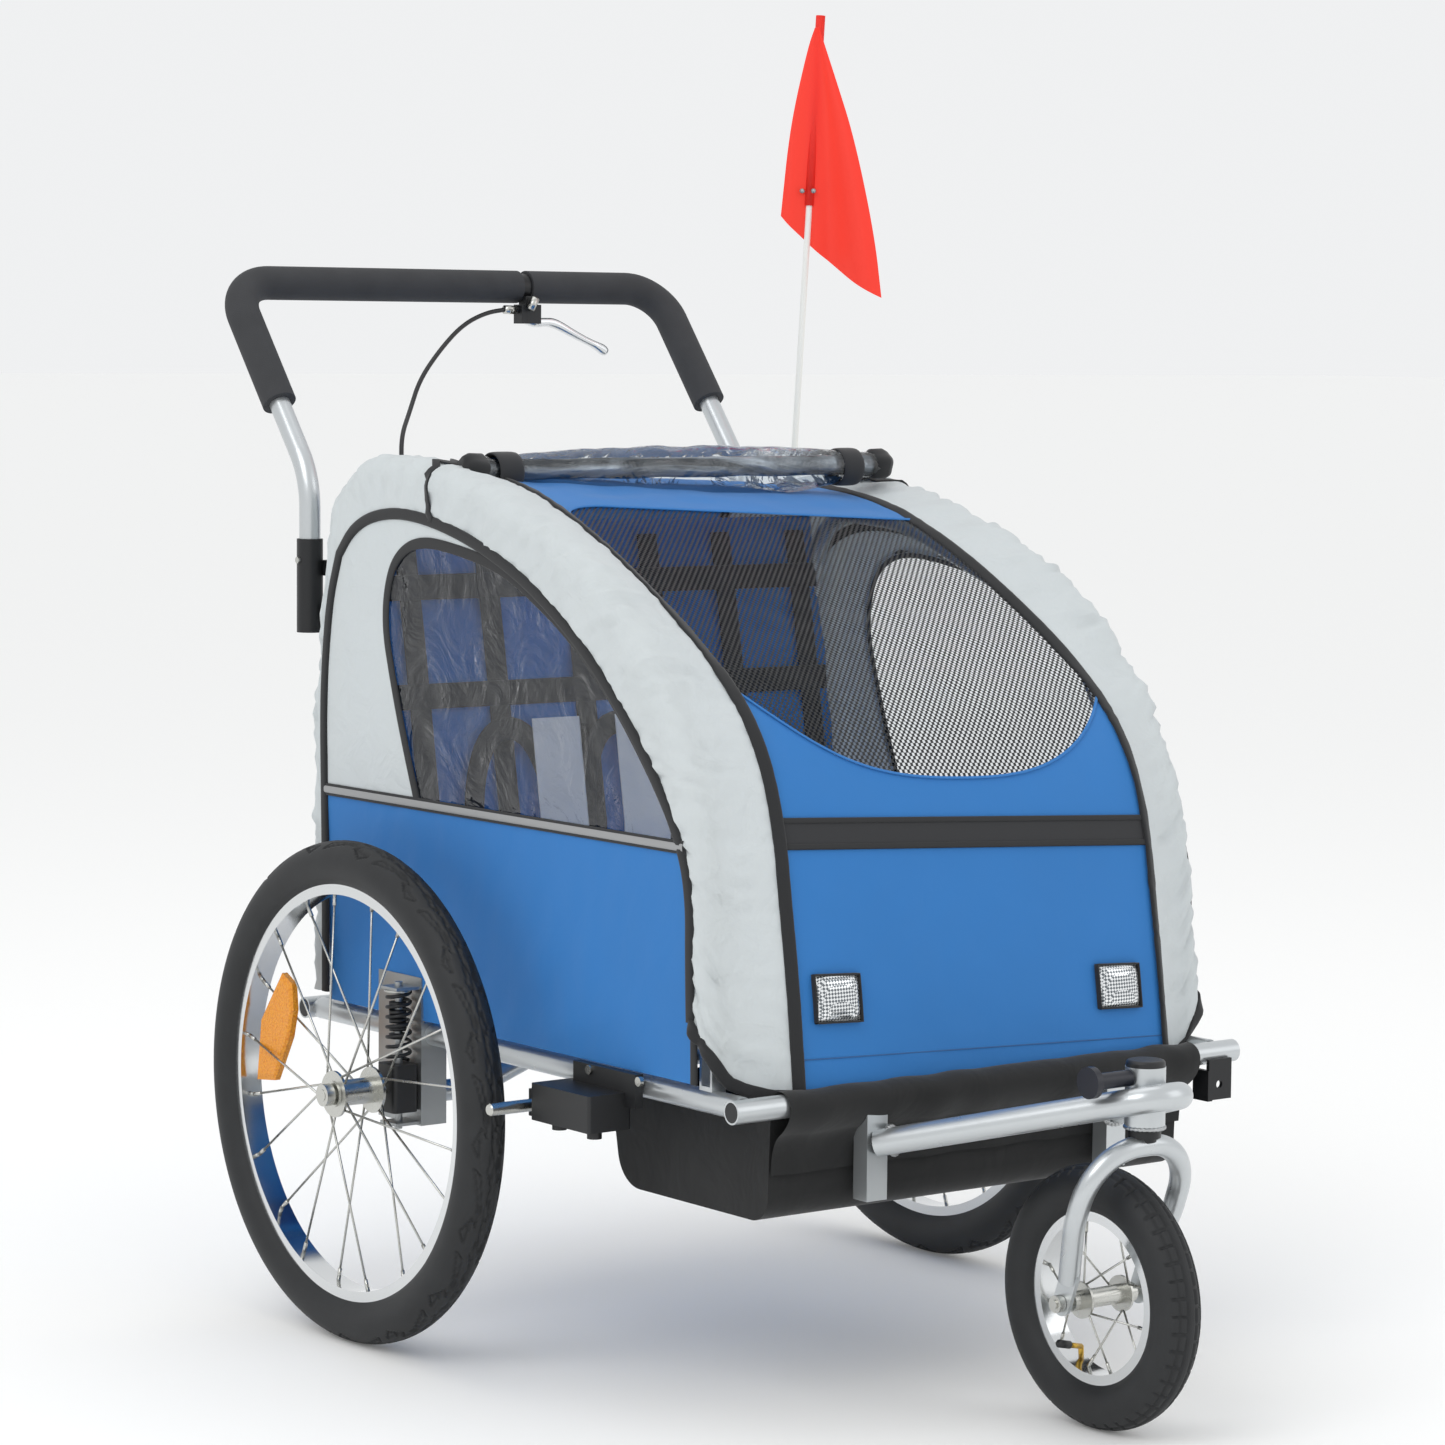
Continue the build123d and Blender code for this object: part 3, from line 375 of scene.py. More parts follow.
for side, x in WHEELS.items():
    spokes(
        side + "_spokes", (x, AXLE_Y, AXLE_Z), 20, 0.02, 0.1985, 0.022, radians(34), 0.0012,
        side + "_wheel"
    )
spokes("caster_spokes", CASTER, 12, 0.0145, 0.0725, 0.0245, radians(30), 0.001, "caster_wheel")

# ---- cabin cloth ------------------------------------------------------------------------------
# Polyurethane-coated polyester, about 0.4 mm thick: pale grey sleeves gathered over the hoops,
# blue panels stretched between them, and black grosgrain binding along every edge.


def cloth(name, code, wrinkle=0.3, rough=0.72, speck=0.06, scale=18.0, thin=0.0):
    """Coated weave: fine threads, soft creases and a little unevenness in the dye."""
    made, tree = blank(name)
    place = add(tree, "TexCoord").outputs["Object"]
    slow = add(tree, "TexNoise", Vector=place, Scale=7.0, Detail=3.0).outputs["Fac"]
    shade = [c * (1 - speck) for c in srgb(code)[:3]] + [1]
    light = [min(1, c * (1 + speck)) for c in srgb(code)[:3]] + [1]
    tone = add(tree, "MixRGB", Fac=slow, Color1=shade, Color2=light).outputs[0]
    crease = add(tree, "TexNoise", Vector=place, Scale=scale, Detail=3.0, Distortion=0.6).outputs["Fac"]
    fold = add(tree, "Bump", Height=crease, Strength=wrinkle, Distance=0.004).outputs[0]
    weave = add(tree, "TexNoise", Vector=place, Scale=1500.0, Detail=1.0).outputs["Fac"]
    bump = add(tree, "Bump", Height=weave, Strength=0.25, Distance=0.0003, Normal=fold).outputs[0]
    shader = add(
        tree, "BsdfPrincipled", Base_Color=tone, Roughness=rough, Normal=bump, Sheen_Weight=0.15,
    )
    if thin:  # light comes through it
        glow = add(tree, "BsdfTranslucent", Color=tone).outputs[0]
        shader = add(tree, "MixShader", _0=thin, _1=shader.outputs[0], _2=glow)
    surface(tree, shader.outputs[0])
    return made


blue = cloth("blue_polyester", "#2C7FCA", 0.3, thin=0.22)
grey = cloth("grey_polyester", "#D3D9DA", 0.9, speck=0.03, scale=30.0, thin=0.15)
binding = cloth("black_binding", "#1E1F21", 0.1, 0.85)
webbing = cloth("black_webbing", "#232427", 0.1, 0.8)
black_cloth = cloth("black_polyester", "#0E0F10", 0.5, 0.85)


def smooth_line(points, count, rounds=3):
    """Corner-cut a run of points and lay out count points at equal steps along it."""
    line = np.asarray(points, float)
    for _ in range(rounds):
        cut = np.repeat(line, 2, 0)[1:-1]
        near, far = cut[0::2], cut[1::2]
        mid = np.empty((2 * len(near), line.shape[1]))
        mid[0::2], mid[1::2] = 0.75 * near + 0.25 * far, 0.25 * near + 0.75 * far
        line = np.concatenate([line[:1], mid, line[-1:]])
    step = np.r_[0, np.cumsum(np.linalg.norm(np.diff(line, axis=0), axis=1))]
    at = np.linspace(0, step[-1], count)
    return np.stack([np.interp(at, step, line[:, k]) for k in range(line.shape[1])], -1)


spans = {}  # rows and columns of each surface


def grid(name, rows, material, uv=None, closed=False):
    """A surface through rows of points; every row has the same number of them."""
    rows = np.asarray(rows, float)
    long, wide = rows.shape[:2]
    spans[name] = (long, wide)
    wrap = wide if closed else wide - 1
    faces = [
        (i * wide + j, i * wide + (j + 1) % wide, (i + 1) * wide + (j + 1) % wide, (i + 1) * wide + j)
        for i in range(long - 1)
        for j in range(wrap)
    ]
    return mesh(name, rows, faces, material, uv)


def outward(rows):
    """Unit normals of a grid of points, the cross product of its steps along and across, turned
    to face away from the middle of the cabin."""
    normal = np.cross(np.gradient(rows, axis=0), np.gradient(rows, axis=1))
    normal /= np.maximum(np.linalg.norm(normal, axis=-1, keepdims=True), 1e-12)
    away = ((rows - np.array([0, AXLE_Y - 0.12, 0.5])) * normal).sum(-1, keepdims=True)
    return normal * np.where(away < 0, -1, 1)


WAVES = 14  # sines in a sum of folds


def ripples(u, v, seed, scale, stretch):
    """Random soft folds in the range -1 to 1: a sum of sines of random phase whose crests run
    mostly along v. u and v are in metres, scale is the folds' usual spacing."""
    rng = np.random.default_rng(seed)
    total = np.zeros_like(u)
    for _ in range(WAVES):
        size = 2 * pi / (scale * rng.uniform(0.6, 1.7))
        lean = rng.normal(0, 0.35)
        phase = rng.uniform(0, 2 * pi, 2)
        envelope = 0.5 + 0.5 * np.sin(u * size * 0.21 + phase[1])
        total += envelope * np.sin(size * (u + lean * v) + phase[0]) * np.cos(v / stretch + phase[1])
    return total / np.abs(total).max()


def strip(name, line, normals, width, thick, material):
    """A band with rounded edges that runs along a line, its flat side facing the normals."""
    line = np.asarray(line, float)
    normals = np.broadcast_to(np.asarray(normals, float), line.shape)
    along = np.gradient(line, axis=0)
    along /= np.linalg.norm(along, axis=1, keepdims=True)
    across = np.cross(along, normals)
    across /= np.linalg.norm(across, axis=1, keepdims=True)
    up = np.cross(across, along)
    a = np.linspace(0, 2 * pi, 14, endpoint=False)
    wide = np.sign(np.cos(a)) * np.abs(np.cos(a)) ** 0.6 * width / 2
    tall = np.sign(np.sin(a)) * np.abs(np.sin(a)) ** 0.8 * thick / 2
    rows = line[:, None] + across[:, None] * wide[None, :, None] + up[:, None] * tall[None, :, None]
    return grid(name, rows, material, closed=True)


# curves of the cabin seen from the side, as y from the axle and z, for the middle height of both
# sides; the right side stands SKEW higher and the left side SKEW lower
INNER_FRONT = [
    (-0.531, 0.301), (-0.524, 0.360), (-0.517, 0.410), (-0.508, 0.465), (-0.496, 0.540), (-0.473, 0.604),
    (-0.433, 0.655), (-0.365, 0.705), (-0.285, 0.752), (-0.210, 0.791), (-0.130, 0.824), (-0.070, 0.841),
    (0.010, 0.851), (0.080, 0.853), (0.150, 0.845), (0.190, 0.822)
]
INNER_BACK = [(0.190, 0.822), (0.213, 0.790), (0.219, 0.720), (0.220, 0.500), (0.220, 0.318)]
CROWN_FRONT = [
    (-0.501, 0.301), (-0.490, 0.408), (-0.480, 0.506), (-0.471, 0.565), (-0.433, 0.642), (-0.380, 0.709),
    (-0.303, 0.770), (-0.209, 0.812), (-0.113, 0.842), (-0.021, 0.862), (0.060, 0.868), (0.110, 0.858),
    (0.148, 0.824)
]
CROWN_BACK = [
    (0.148, 0.824), (0.162, 0.760), (0.170, 0.700), (0.180, 0.650), (0.187, 0.590), (0.190, 0.480),
    (0.190, 0.318)
]
SEAM_FRONT = [
    (-0.473, 0.340), (-0.470, 0.420), (-0.470, 0.475), (-0.458, 0.520), (-0.427, 0.568), (-0.379, 0.624),
    (-0.315, 0.683), (-0.249, 0.728), (-0.182, 0.763), (-0.096, 0.793), (-0.006, 0.810), (0.058, 0.808),
    (0.104, 0.792), (0.130, 0.764)
]
SEAM_BACK = [
    (0.130, 0.764), (0.147, 0.720), (0.156, 0.660), (0.160, 0.600), (0.158, 0.526), (0.156, 0.420),
    (0.156, 0.318)
]
NEAR, FAR = 150, 60


def whole(front, rear):
    """One curve of the cabin, matched point by point with the others at the rear top corner."""
    return np.concatenate([smooth_line(front, NEAR), smooth_line(rear, FAR)[1:]])


INNER, CROWN, SEAM = (
    whole(INNER_FRONT, INNER_BACK), whole(CROWN_FRONT, CROWN_BACK), whole(SEAM_FRONT, SEAM_BACK)
)
HALF, TOP_X, SIDE_X, SKEW = 0.227, 0.288, 0.3085, 0.012
HEM_Z = 0.301
ROUND = 0.02  # how far down a sleeve's rounded shoulder reaches


def hem_share(z):
    """How much of the skew a height shows: about half of it at the hem, all of it 80 mm above."""
    return np.clip(0.55 + 0.45 * (z - HEM_Z) / 0.08, 0.5, 1)


def lifted(yz, x):
    """A point of a cabin curve placed at x, with the cabin's small skew."""
    yz = np.asarray(yz)
    lift = -SKEW * np.clip(np.asarray(x) / HALF, -1, 1) * hem_share(yz[..., 1])
    x = np.broadcast_to(x, yz.shape[:-1])
    return np.stack([x, yz[..., 0] + AXLE_Y, yz[..., 1] + np.broadcast_to(lift, x.shape)], -1)


def sleeve_rows(hand):
    """The sleeve over one hoop: from the inner seam it rises to the crown as a quarter sine,
    rounds over a 20 mm ellipse and drops flat to the side seam."""
    rows = []
    rise = np.sin(np.linspace(0, pi / 2, 11))
    for k in range(len(CROWN)):
        inner, crown, seam = INNER[k], CROWN[k], SEAM[k]
        drop = np.linalg.norm(seam - crown) + 1e-6
        parts = [
            np.r_[HALF + (TOP_X - HALF) * j / 10, inner + (crown - inner) * rise[j]]
            for j in range(11)
        ]
        for j in range(1, 9):
            a = j * pi / 16
            parts.append(
                np.r_[TOP_X + 0.0205 * sin(a), crown + (seam - crown) * min(1, ROUND * (1 - cos(a)) / drop)]
            )
        parts += [
            np.r_[SIDE_X, crown + (seam - crown) * (min(1, ROUND / drop) * (1 - t) + t)]
            for t in np.linspace(0, 1, 9)[1:]
        ]
        rows.append([(hand * x, y + AXLE_Y, z - hand * SKEW * hem_share(z)) for x, y, z in parts])
    rows = trim(np.array(rows))
    length = np.r_[0, np.cumsum(np.linalg.norm(np.diff(rows[:, 12], axis=0), axis=1))]
    width = np.r_[0, np.cumsum(np.linalg.norm(np.diff(rows[60], axis=0), axis=1))]
    u, v = np.meshgrid(length, width, indexing="ij")
    fade = np.sin(np.clip(v / width[-1], 0, 1) * pi) ** 0.5
    seams = np.exp(-v / 0.016) + np.exp(-(width[-1] - v) / 0.02)
    folds = ripples(u, v, 11 + hand, 0.019, 0.06) * 0.0046 + ripples(u, v, 31 + hand, 0.085, 0.2) * 0.004
    gathers = ripples(u, v, 77 + hand, 0.011, 0.5) * 0.0022 * seams
    rows += outward(rows) * (folds * fade + gathers * fade**0.3)[..., None]
    return rows, np.stack([u, v], -1)


HEM_CUT = ([0, 0.2, 0.37, 0.5, 0.54, 0.64, 0.79, 1], [0, 0, 0.006, 0.014, 0.021, 0.038, 0.053, 0.068])


def trim(rows):
    """Cuts the sleeve's lower end along the corner's sweep: across the width, from the inner seam
    to the side seam, the edge climbs 68 mm."""
    wide = np.r_[0, np.cumsum(np.linalg.norm(np.diff(rows[0], axis=0), axis=1))]
    climb = np.interp(wide / wide[-1], *HEM_CUT)
    steps = np.arange(len(rows))
    out = rows.copy()
    for j in range(rows.shape[1]):
        first = np.interp(rows[0, 0, 2] + climb[j], rows[:60, j, 2], steps[:60])
        at = steps + first * np.clip(1 - steps / 90, 0, 1)
        out[:, j] = np.stack([np.interp(at, steps, rows[:, j, k]) for k in range(3)], -1)
    return out


def settle(made, nodes_for=()):
    """Rides a cloth piece on the chassis, gives it its own copy of its mesh and hides the CAD nodes it stands
    in for.
    """
    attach(made, "chassis")
    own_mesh(made)
    if nodes_for:
        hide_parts(*nodes_for)
    return made


def webbed(*about):
    """A strip, about which all is said as for strip, ridden on the chassis as the cloth is."""
    return settle(strip(*about))


def panel(made):
    """Measures a cloth panel: its longest run each way as its flat size, and its area; the numbers are not
    kept.
    """
    points = np.empty(len(made.data.vertices) * 3)
    made.data.vertices.foreach_get("co", points)
    rows = points.reshape(*spans[made.name], 3)
    wide = float(np.linalg.norm(np.diff(rows, axis=1), axis=-1).sum(1).max())
    long = float(np.linalg.norm(np.diff(rows, axis=0), axis=-1).sum(0).max())
    area = sum(face.area for face in made.data.polygons)
    if area < 0.4 * wide * long:  # a curved band is as wide as its area over its length
        wide = area / long


for side, hand in (("right", -1), ("left", 1)):
    rows, uv = sleeve_rows(hand)
    made = grid(side + "_sleeve", rows, grey, uv)
    settle(made, ("hoop_sleeves",) if side == "right" else ())
    out = outward(rows)
    edges = [
        strip(side + "_inner_binding", rows[:, 0] + out[:, 0] * 0.001, out[:, 1], 0.0125, 0.0045, binding),
        strip(side + "_side_binding", rows[:, -1], (hand, 0, 0), 0.0115, 0.005, binding),
        strip(side + "_hem_binding", rows[0], out[0], 0.0125, 0.005, binding),
    ]
    columns = np.arange(rows.shape[1])
    behind = np.interp(0.02, INNER[:NEAR, 0], np.arange(NEAR))
    ahead = np.interp(-0.04, SEAM[:NEAR, 0], np.arange(NEAR))
    at = (behind + (ahead - behind) * columns / columns[-1]).round().astype(int)
    across = rows[at, columns] + out[at, columns] * 0.0018
    edges.append(strip(side + "_sleeve_strap", across, out[at, columns], 0.0085, 0.002, binding))
    for piece in edges:
        settle(piece)
    panel(made)

# ---- front panel, window mesh and roof --------------------------------------------------------
# Blue cloth below and above a black knitted mesh; the mesh's lower edge dips in a wide U. A black
# hook-and-loop band crosses below it, for the rain cover.

cover_line = INNER[:NEAR]
cover_step = np.r_[0, np.cumsum(np.linalg.norm(np.diff(cover_line, axis=0), axis=1))]


def cover_at(s, x):
    """A point of the cover: s metres along its curve from the hem, x across the trailer."""
    yz = np.stack([np.interp(s, cover_step, cover_line[:, k]) for k in (0, 1)], -1)
    return lifted(yz, x)


def station(y=None, z=None):
    """Metres along the cover's curve at a given y from the axle, or height."""
    if z is not None:
        return float(np.interp(z, cover_line[:110, 1], cover_step[:110]))
    return float(np.interp(y, cover_line[:, 0], cover_step))


def cover_piece(name, low, high, material, steps, lift=0.0, folds=0.0, seed=1, sag=0.0):
    """A part of the cover between two curves low(x) and high(x), given along its length."""
    x = np.linspace(-HALF, HALF, 91)
    a, b = low(x), high(x)
    t = np.linspace(0, 1, steps)[:, None]
    s = a + (b - a) * t
    xs = np.broadcast_to(x, s.shape)
    rows = cover_at(s, xs)
    out = outward(rows)
    edge = np.clip(
        np.minimum(t * (b - a), (1 - t) * (b - a)) / 0.03, 0, 1
    ) * np.clip((HALF - np.abs(xs)) / 0.03, 0, 1)
    move = lift + folds * ripples(s, xs, seed, 0.07, 0.12) * edge + folds * 0.6 * ripples(
        xs, s, seed + 5, 0.09, 0.15
    ) * edge
    move = move - sag * (1 - (xs / HALF) ** 2) * np.sin(pi * t)
    rows = rows + out * move[..., None]
    return grid(name, rows, material, np.stack([xs, s], -1))


BAND_LOW, BAND_HIGH = station(z=0.519), station(z=0.5475)
U_MID, U_SIDE = station(z=0.583), station(z=0.662)
MESH_TOP = station(y=-0.132)


def level_at(s):
    """A straight edge across the cover."""
    return lambda x: np.full_like(x, s)


def u_edge(x):
    """The window's lower edge: a wide U from the side bindings."""
    t = np.abs(x) / HALF
    return U_MID + (U_SIDE - U_MID) * (0.25 * t**2 + 0.75 * t**3.4)


def mesh_top(x):
    """The window's upper edge, straight, with the corner rounded off at the right side."""
    t = np.clip((-x - 0.165) / (HALF - 0.165), 0, 1)
    return MESH_TOP - 0.034 * (1 - np.sqrt(np.clip(1 - t**2, 0, 1)))


front = cover_piece("front_cloth", level_at(0), level_at(BAND_LOW + 0.004), blue, 60, 0.0, 0.0008, 3)
settle(front, ("front_panel",))
panel(front)
made = cover_piece("front_cloth_upper", level_at(BAND_HIGH - 0.004), u_edge, blue, 30, 0.0, 0.0008, 4)
settle(made)
panel(made)
made = cover_piece("front_band", level_at(BAND_LOW), level_at(BAND_HIGH), webbing, 8, 0.0016)
settle(made)
for name, at in (("band_edge_low", BAND_LOW + 0.003), ("band_edge_high", BAND_HIGH - 0.002)):
    x = np.linspace(-HALF, HALF, 60)
    line = cover_at(np.full_like(x, at), x) + np.array([0, -0.0022, 0.0006])
    webbed(name, line, (0, -0.95, 0.3), 0.005, 0.0012, binding)

net, tree = blank("window_mesh")
place = add(tree, "UVMap", {"uv_map": "real"}).outputs[0]
split = add(tree, "SeparateXYZ", Vector=place)
PITCH = 0.0064  # two staggered rows of holes
turns = 2 * pi / PITCH


def scaled(value, by):
    """A socket times a number."""
    return add(tree, "Math", {"operation": "MULTIPLY"}, _0=value, _1=by).outputs[0]


def cosine(value):
    """The cosine of a socket."""
    return add(tree, "Math", {"operation": "COSINE"}, _0=value).outputs[0]


long_wave = cosine(scaled(split.outputs[1], turns * 0.9))
cross_wave = cosine(scaled(split.outputs[0], turns))
hole = add(tree, "Math", {"operation": "MULTIPLY"}, _0=long_wave, _1=cross_wave).outputs[0]
open_at = add(tree, "MapRange", Value=hole, From_Min=0.0, From_Max=0.1).outputs[0]
thread = add(tree, "BsdfPrincipled", Base_Color=srgb("#161719"), Roughness=0.6).outputs[0]
clear = add(tree, "BsdfTransparent").outputs[0]
surface(tree, add(tree, "MixShader", _0=open_at, _1=thread, _2=clear).outputs[0])
made = cover_piece("window_net", u_edge, mesh_top, net, 90, -0.0005, 0.0016, 8, sag=0.006)
settle(made, ("mesh_window",))
panel(made)

made = cover_piece("roof_cloth", mesh_top, level_at(cover_step[-1]), blue, 50, 0.0005, 0.002, 12)
settle(made, ("roof_panel",))
panel(made)
x = np.linspace(-HALF, HALF, 90)
for name, edge in (("mesh_low_binding", u_edge), ("mesh_top_binding", mesh_top)):
    line = cover_at(edge(x), x) + np.array([0, -0.0008, 0.0012])
    settle(strip(name, line, (0, -0.7, 0.7), 0.003, 0.0012, blue))

def across_rows(yz, x):
    """Rows of points: a side curve of (y, z) carried across the trailer at each x."""
    return np.stack([np.broadcast_to(part, (len(yz), len(x))) for part in (x, yz[:, :1], yz[:, 1:])], -1)


# the rear wall drops from the roof's corner behind the seat
x = np.linspace(-HALF, HALF, 61)
rows = across_rows(smooth_line(INNER_BACK, 40) + (AXLE_Y, 0), x)
rows[..., 2] -= SKEW * x / HALF
rows[..., 1] += ripples(rows[..., 2], rows[..., 0], 21, 0.09, 0.15) * 0.003
made = settle(grid("rear_cloth", rows, blue), ("rear_panel",))
panel(made)

# ---- hem --------------------------------------------------------------------------------------
# The front panel's lower edge is bound in black; a line of stitching runs 30 mm above it.

x = np.linspace(-HALF - 0.004, HALF + 0.004, 90)
hem_line = cover_at(np.zeros_like(x), x) - np.array([0, 0.001, 0.003])
webbed("hem_binding", hem_line, (0, -1, 0.1), 0.0135, 0.006, binding)
x = np.linspace(-HALF, HALF, 80)
line = cover_at(np.full_like(x, station(z=0.332)), x) + np.array([0, -0.0006, 0])
settle(
    strip("hem_stitch", line, (0, -1, 0.1), 0.0012, 0.0006, cloth("blue_thread", "#245C94")),
)

# ---- side panels ------------------------------------------------------------------------------
# Blue below a reflective strip; above it pale grey with a teardrop window of clear soft film.

STRIP_Z = 0.523
WINDOW_OUT = [
    (-0.456, 0.523), (-0.438, 0.551), (-0.405, 0.592), (-0.352, 0.648), (-0.282, 0.705), (-0.192, 0.752),
    (-0.144, 0.768), (-0.087, 0.778), (-0.030, 0.784), (0.008, 0.776), (0.035, 0.752), (0.045, 0.700),
    (0.028, 0.642), (0.010, 0.590), (-0.017, 0.523)
]


def side_wall(yz, hand):
    """Points of a side panel: its plane leans in a little towards the floor."""
    yz = np.asarray(yz, float)
    z = yz[..., 1] - hand * SKEW
    x = hand * (0.3015 + 0.0065 * np.clip((z - 0.32) / 0.2, 0, 1))
    return np.stack([x, yz[..., 0] + AXLE_Y, z], -1)


def patch_between(first, second, count, rows_count, hand, folds=0.0, seed=1):
    """A patch of side panel ruled between two curves."""
    a, b = smooth_line(first, count), smooth_line(second, count)
    t = np.linspace(0, 1, rows_count)[:, None, None]
    rows = side_wall(a[None] * (1 - t) + b[None] * t, hand)
    u, v = rows[..., 1], rows[..., 2]
    fade = np.sin(pi * t[..., 0]) ** 0.5
    rows[..., 0] += hand * folds * (
        ripples(u, v, seed, 0.06, 0.1) + 0.6 * ripples(v, u, seed + 3, 0.08, 0.1)
    ) * fade
    return rows


film, tree = blank("clear_film")
place = add(tree, "TexCoord").outputs["Object"]
soft = add(tree, "TexNoise", Vector=place, Scale=16.0, Detail=4.0, Distortion=1.2).outputs["Fac"]
bump = add(tree, "Bump", Height=soft, Strength=0.9, Distance=0.01).outputs[0]
gleam = add(tree, "BsdfGlossy", Color=srgb("#FFFFFF"), Roughness=0.06, Normal=bump).outputs[0]
edge = add(tree, "Fresnel", IOR=1.45, Normal=bump).outputs[0]
through = add(tree, "BsdfTransparent", Color=srgb("#F3F6F8")).outputs[0]
amount = add(tree, "Math", {"operation": "MULTIPLY_ADD"}, _0=edge, _1=0.9, _2=0.02).outputs[0]
surface(tree, add(tree, "MixShader", _0=amount, _1=through, _2=gleam).outputs[0])

reflective, tree = blank("reflective_tape")
surface(
    tree, add(tree, "BsdfPrincipled", Base_Color=srgb("#9C9D9E"), Roughness=0.45, Metallic=0.3).outputs[0]
)

seam_front = [(-0.469, 0.305), (-0.470, 0.400), (-0.470, 0.475), (-0.458, STRIP_Z)]
seam_rear = [(0.156, 0.305), (0.156, 0.400), (0.158, 0.475), (0.158, STRIP_Z)]
seam_over = [
    (-0.456, STRIP_Z), (-0.427, 0.568), (-0.379, 0.624), (-0.315, 0.683), (-0.249, 0.728), (-0.182, 0.763),
    (-0.096, 0.793), (-0.006, 0.810), (0.058, 0.808), (0.104, 0.792), (0.130, 0.764), (0.147, 0.720),
    (0.156, 0.660), (0.160, 0.600), (0.158, STRIP_Z)
]
for side, hand in (("right", -1), ("left", 1)):
    made = grid(side + "_side_cloth", patch_between(seam_front, seam_rear, 50, 90, hand, 0.0012, 51), blue)
    settle(made, ("side_panels",) if side == "right" else ())
    panel(made)
    made = grid(side + "_side_grey", patch_between(seam_over, WINDOW_OUT, 200, 16, hand, 0.0006, 55), grey)
    settle(made)
    panel(made)
    made = grid(
        side + "_window_film",
        patch_between(WINDOW_OUT[:9], WINDOW_OUT[8:][::-1], 60, 40, hand, 0.0012, 61), film
    )
    settle(made)
    panel(made)
    line = side_wall(smooth_line(WINDOW_OUT, 160), hand) + np.array([hand * 0.001, 0, 0])
    webbed(side + "_window_binding", line, (hand, 0, 0), 0.011, 0.002, binding)
    tape = side_wall(np.array([(0.156, STRIP_Z), (-0.1, STRIP_Z), (-0.461, STRIP_Z)]), hand)
    tape = smooth_line(tape, 40) + np.array([hand * 0.0016, 0, 0])
    webbed(side + "_tape_edge", tape, (hand, 0, 0), 0.0125, 0.0016, binding)
    webbed(side + "_tape", tape + np.array([hand * 0.0006, 0, 0]), (hand, 0, 0), 0.0072, 0.0016, reflective)
    front_edge = side_wall(smooth_line([(-0.469, 0.305), (-0.470, 0.345), (-0.471, 0.38)], 12), hand)
    webbed(side + "_front_edge", front_edge, (hand, 0, 0), 0.010, 0.003, binding)

# ---- seat and harness -------------------------------------------------------------------------
# A sling of blue cloth on a grid of black webbing, with two pairs of shoulder straps.

seat_yz = smooth_line(
    [(-0.24, 0.345), (-0.10, 0.335), (0.0, 0.338), (0.035, 0.37), (0.06, 0.50), (0.09, 0.68), (0.115, 0.805)],
    90
)
x = np.linspace(-0.285, 0.285, 81)
rows = across_rows(seat_yz + (AXLE_Y, 0), x)
seat_folds = ripples(
    rows[..., 2], rows[..., 0], 71, 0.08, 0.12
) * 0.003 + ripples(rows[..., 0], rows[..., 2], 75, 0.06, 0.1) * 0.002
rows[..., 1] += seat_folds
made = settle(grid("seat_cloth", rows, blue), ("seat_base", "seat_back", "harness"))
panel(made)


def seat_line(points, lift=0.004):
    """Points on the seat's face for a run of (x, z)."""
    points = smooth_line(points, 40)
    y = np.interp(points[:, 1], seat_yz[50:, 1], seat_yz[50:, 0]) + AXLE_Y
    return np.stack([points[:, 0], y - lift, points[:, 1]], -1)


for k, x in enumerate((-0.245, -0.148, -0.04, 0.06, 0.157, 0.258)):
    webbed(
        f"seat_upright_{k}", seat_line([(x, 0.42), (x, 0.6), (x, 0.79)]), (0, -1, 0.15), 0.026, 0.002,
        webbing
    )
for k, z in enumerate((0.742, 0.632)):
    webbed(
        f"seat_rail_{k}", seat_line([(-0.28, z), (0, z), (0.28, z)], 0.0055), (0, -1, 0.15), 0.026, 0.002,
        webbing
    )
label = cloth("white_label", "#FAFAFB", 0.1)
for k, x in enumerate((-0.145, -0.005, 0.135)):
    arch = [
        (x - 0.052, 0.44), (x - 0.05, 0.53), (x - 0.03, 0.585), (x, 0.6), (x + 0.03, 0.585),
        (x + 0.05, 0.53), (x + 0.056, 0.44)
    ]
    webbed(f"harness_strap_{k}", seat_line(arch, 0.009), (0, -1, 0.15), 0.024, 0.0025, webbing)
for k, x in enumerate((-0.087, 0.018)):
    settle(
        strip(
            f"label_{k}", seat_line([(x, 0.47), (x, 0.53), (x, 0.605)], 0.014), (0, -1, 0.15), 0.06,
            0.0015, label
        ),
    )

# ---- rain cover, rolled -----------------------------------------------------------------------
# Clear soft film rolled up on the roof, its bound ends black, held by two webbing straps.

ROLL_Y, ROLL_Z = AXLE_Y - 0.036, 0.8655
x = np.linspace(-0.262, 0.262, 200)
a = np.linspace(0, 2 * pi, 48, endpoint=False)
xs, aa = np.meshgrid(x, a, indexing="ij")
core = 0.0105 + 0.0012 * ripples(xs, aa * 0.02, 83, 0.09, 0.05)
rows = np.stack([xs, ROLL_Y + core * np.cos(aa), ROLL_Z + core * np.sin(aa)], -1)
rolled, tree = blank("rolled_film")
place = add(tree, "TexCoord").outputs["Object"]
stretched = add(tree, "Mapping", Vector=place, Scale=(7.0, 55.0, 55.0)).outputs[0]
crumple = add(tree, "TexNoise", Vector=stretched, Scale=1.0, Detail=5.0, Distortion=0.8).outputs["Fac"]
bump = add(tree, "Bump", Height=crumple, Strength=0.7, Distance=0.01).outputs[0]
# the clear film's colour is painted light and shade: a light grey highlight on each crumple's crest and dark
# grey shade in the hollows, from the same noise as the bump
tone = add(tree, "ValToRGB", Fac=crumple)
tone.color_ramp.elements[0].position, tone.color_ramp.elements[0].color = 0.4, srgb("#3A3F44")
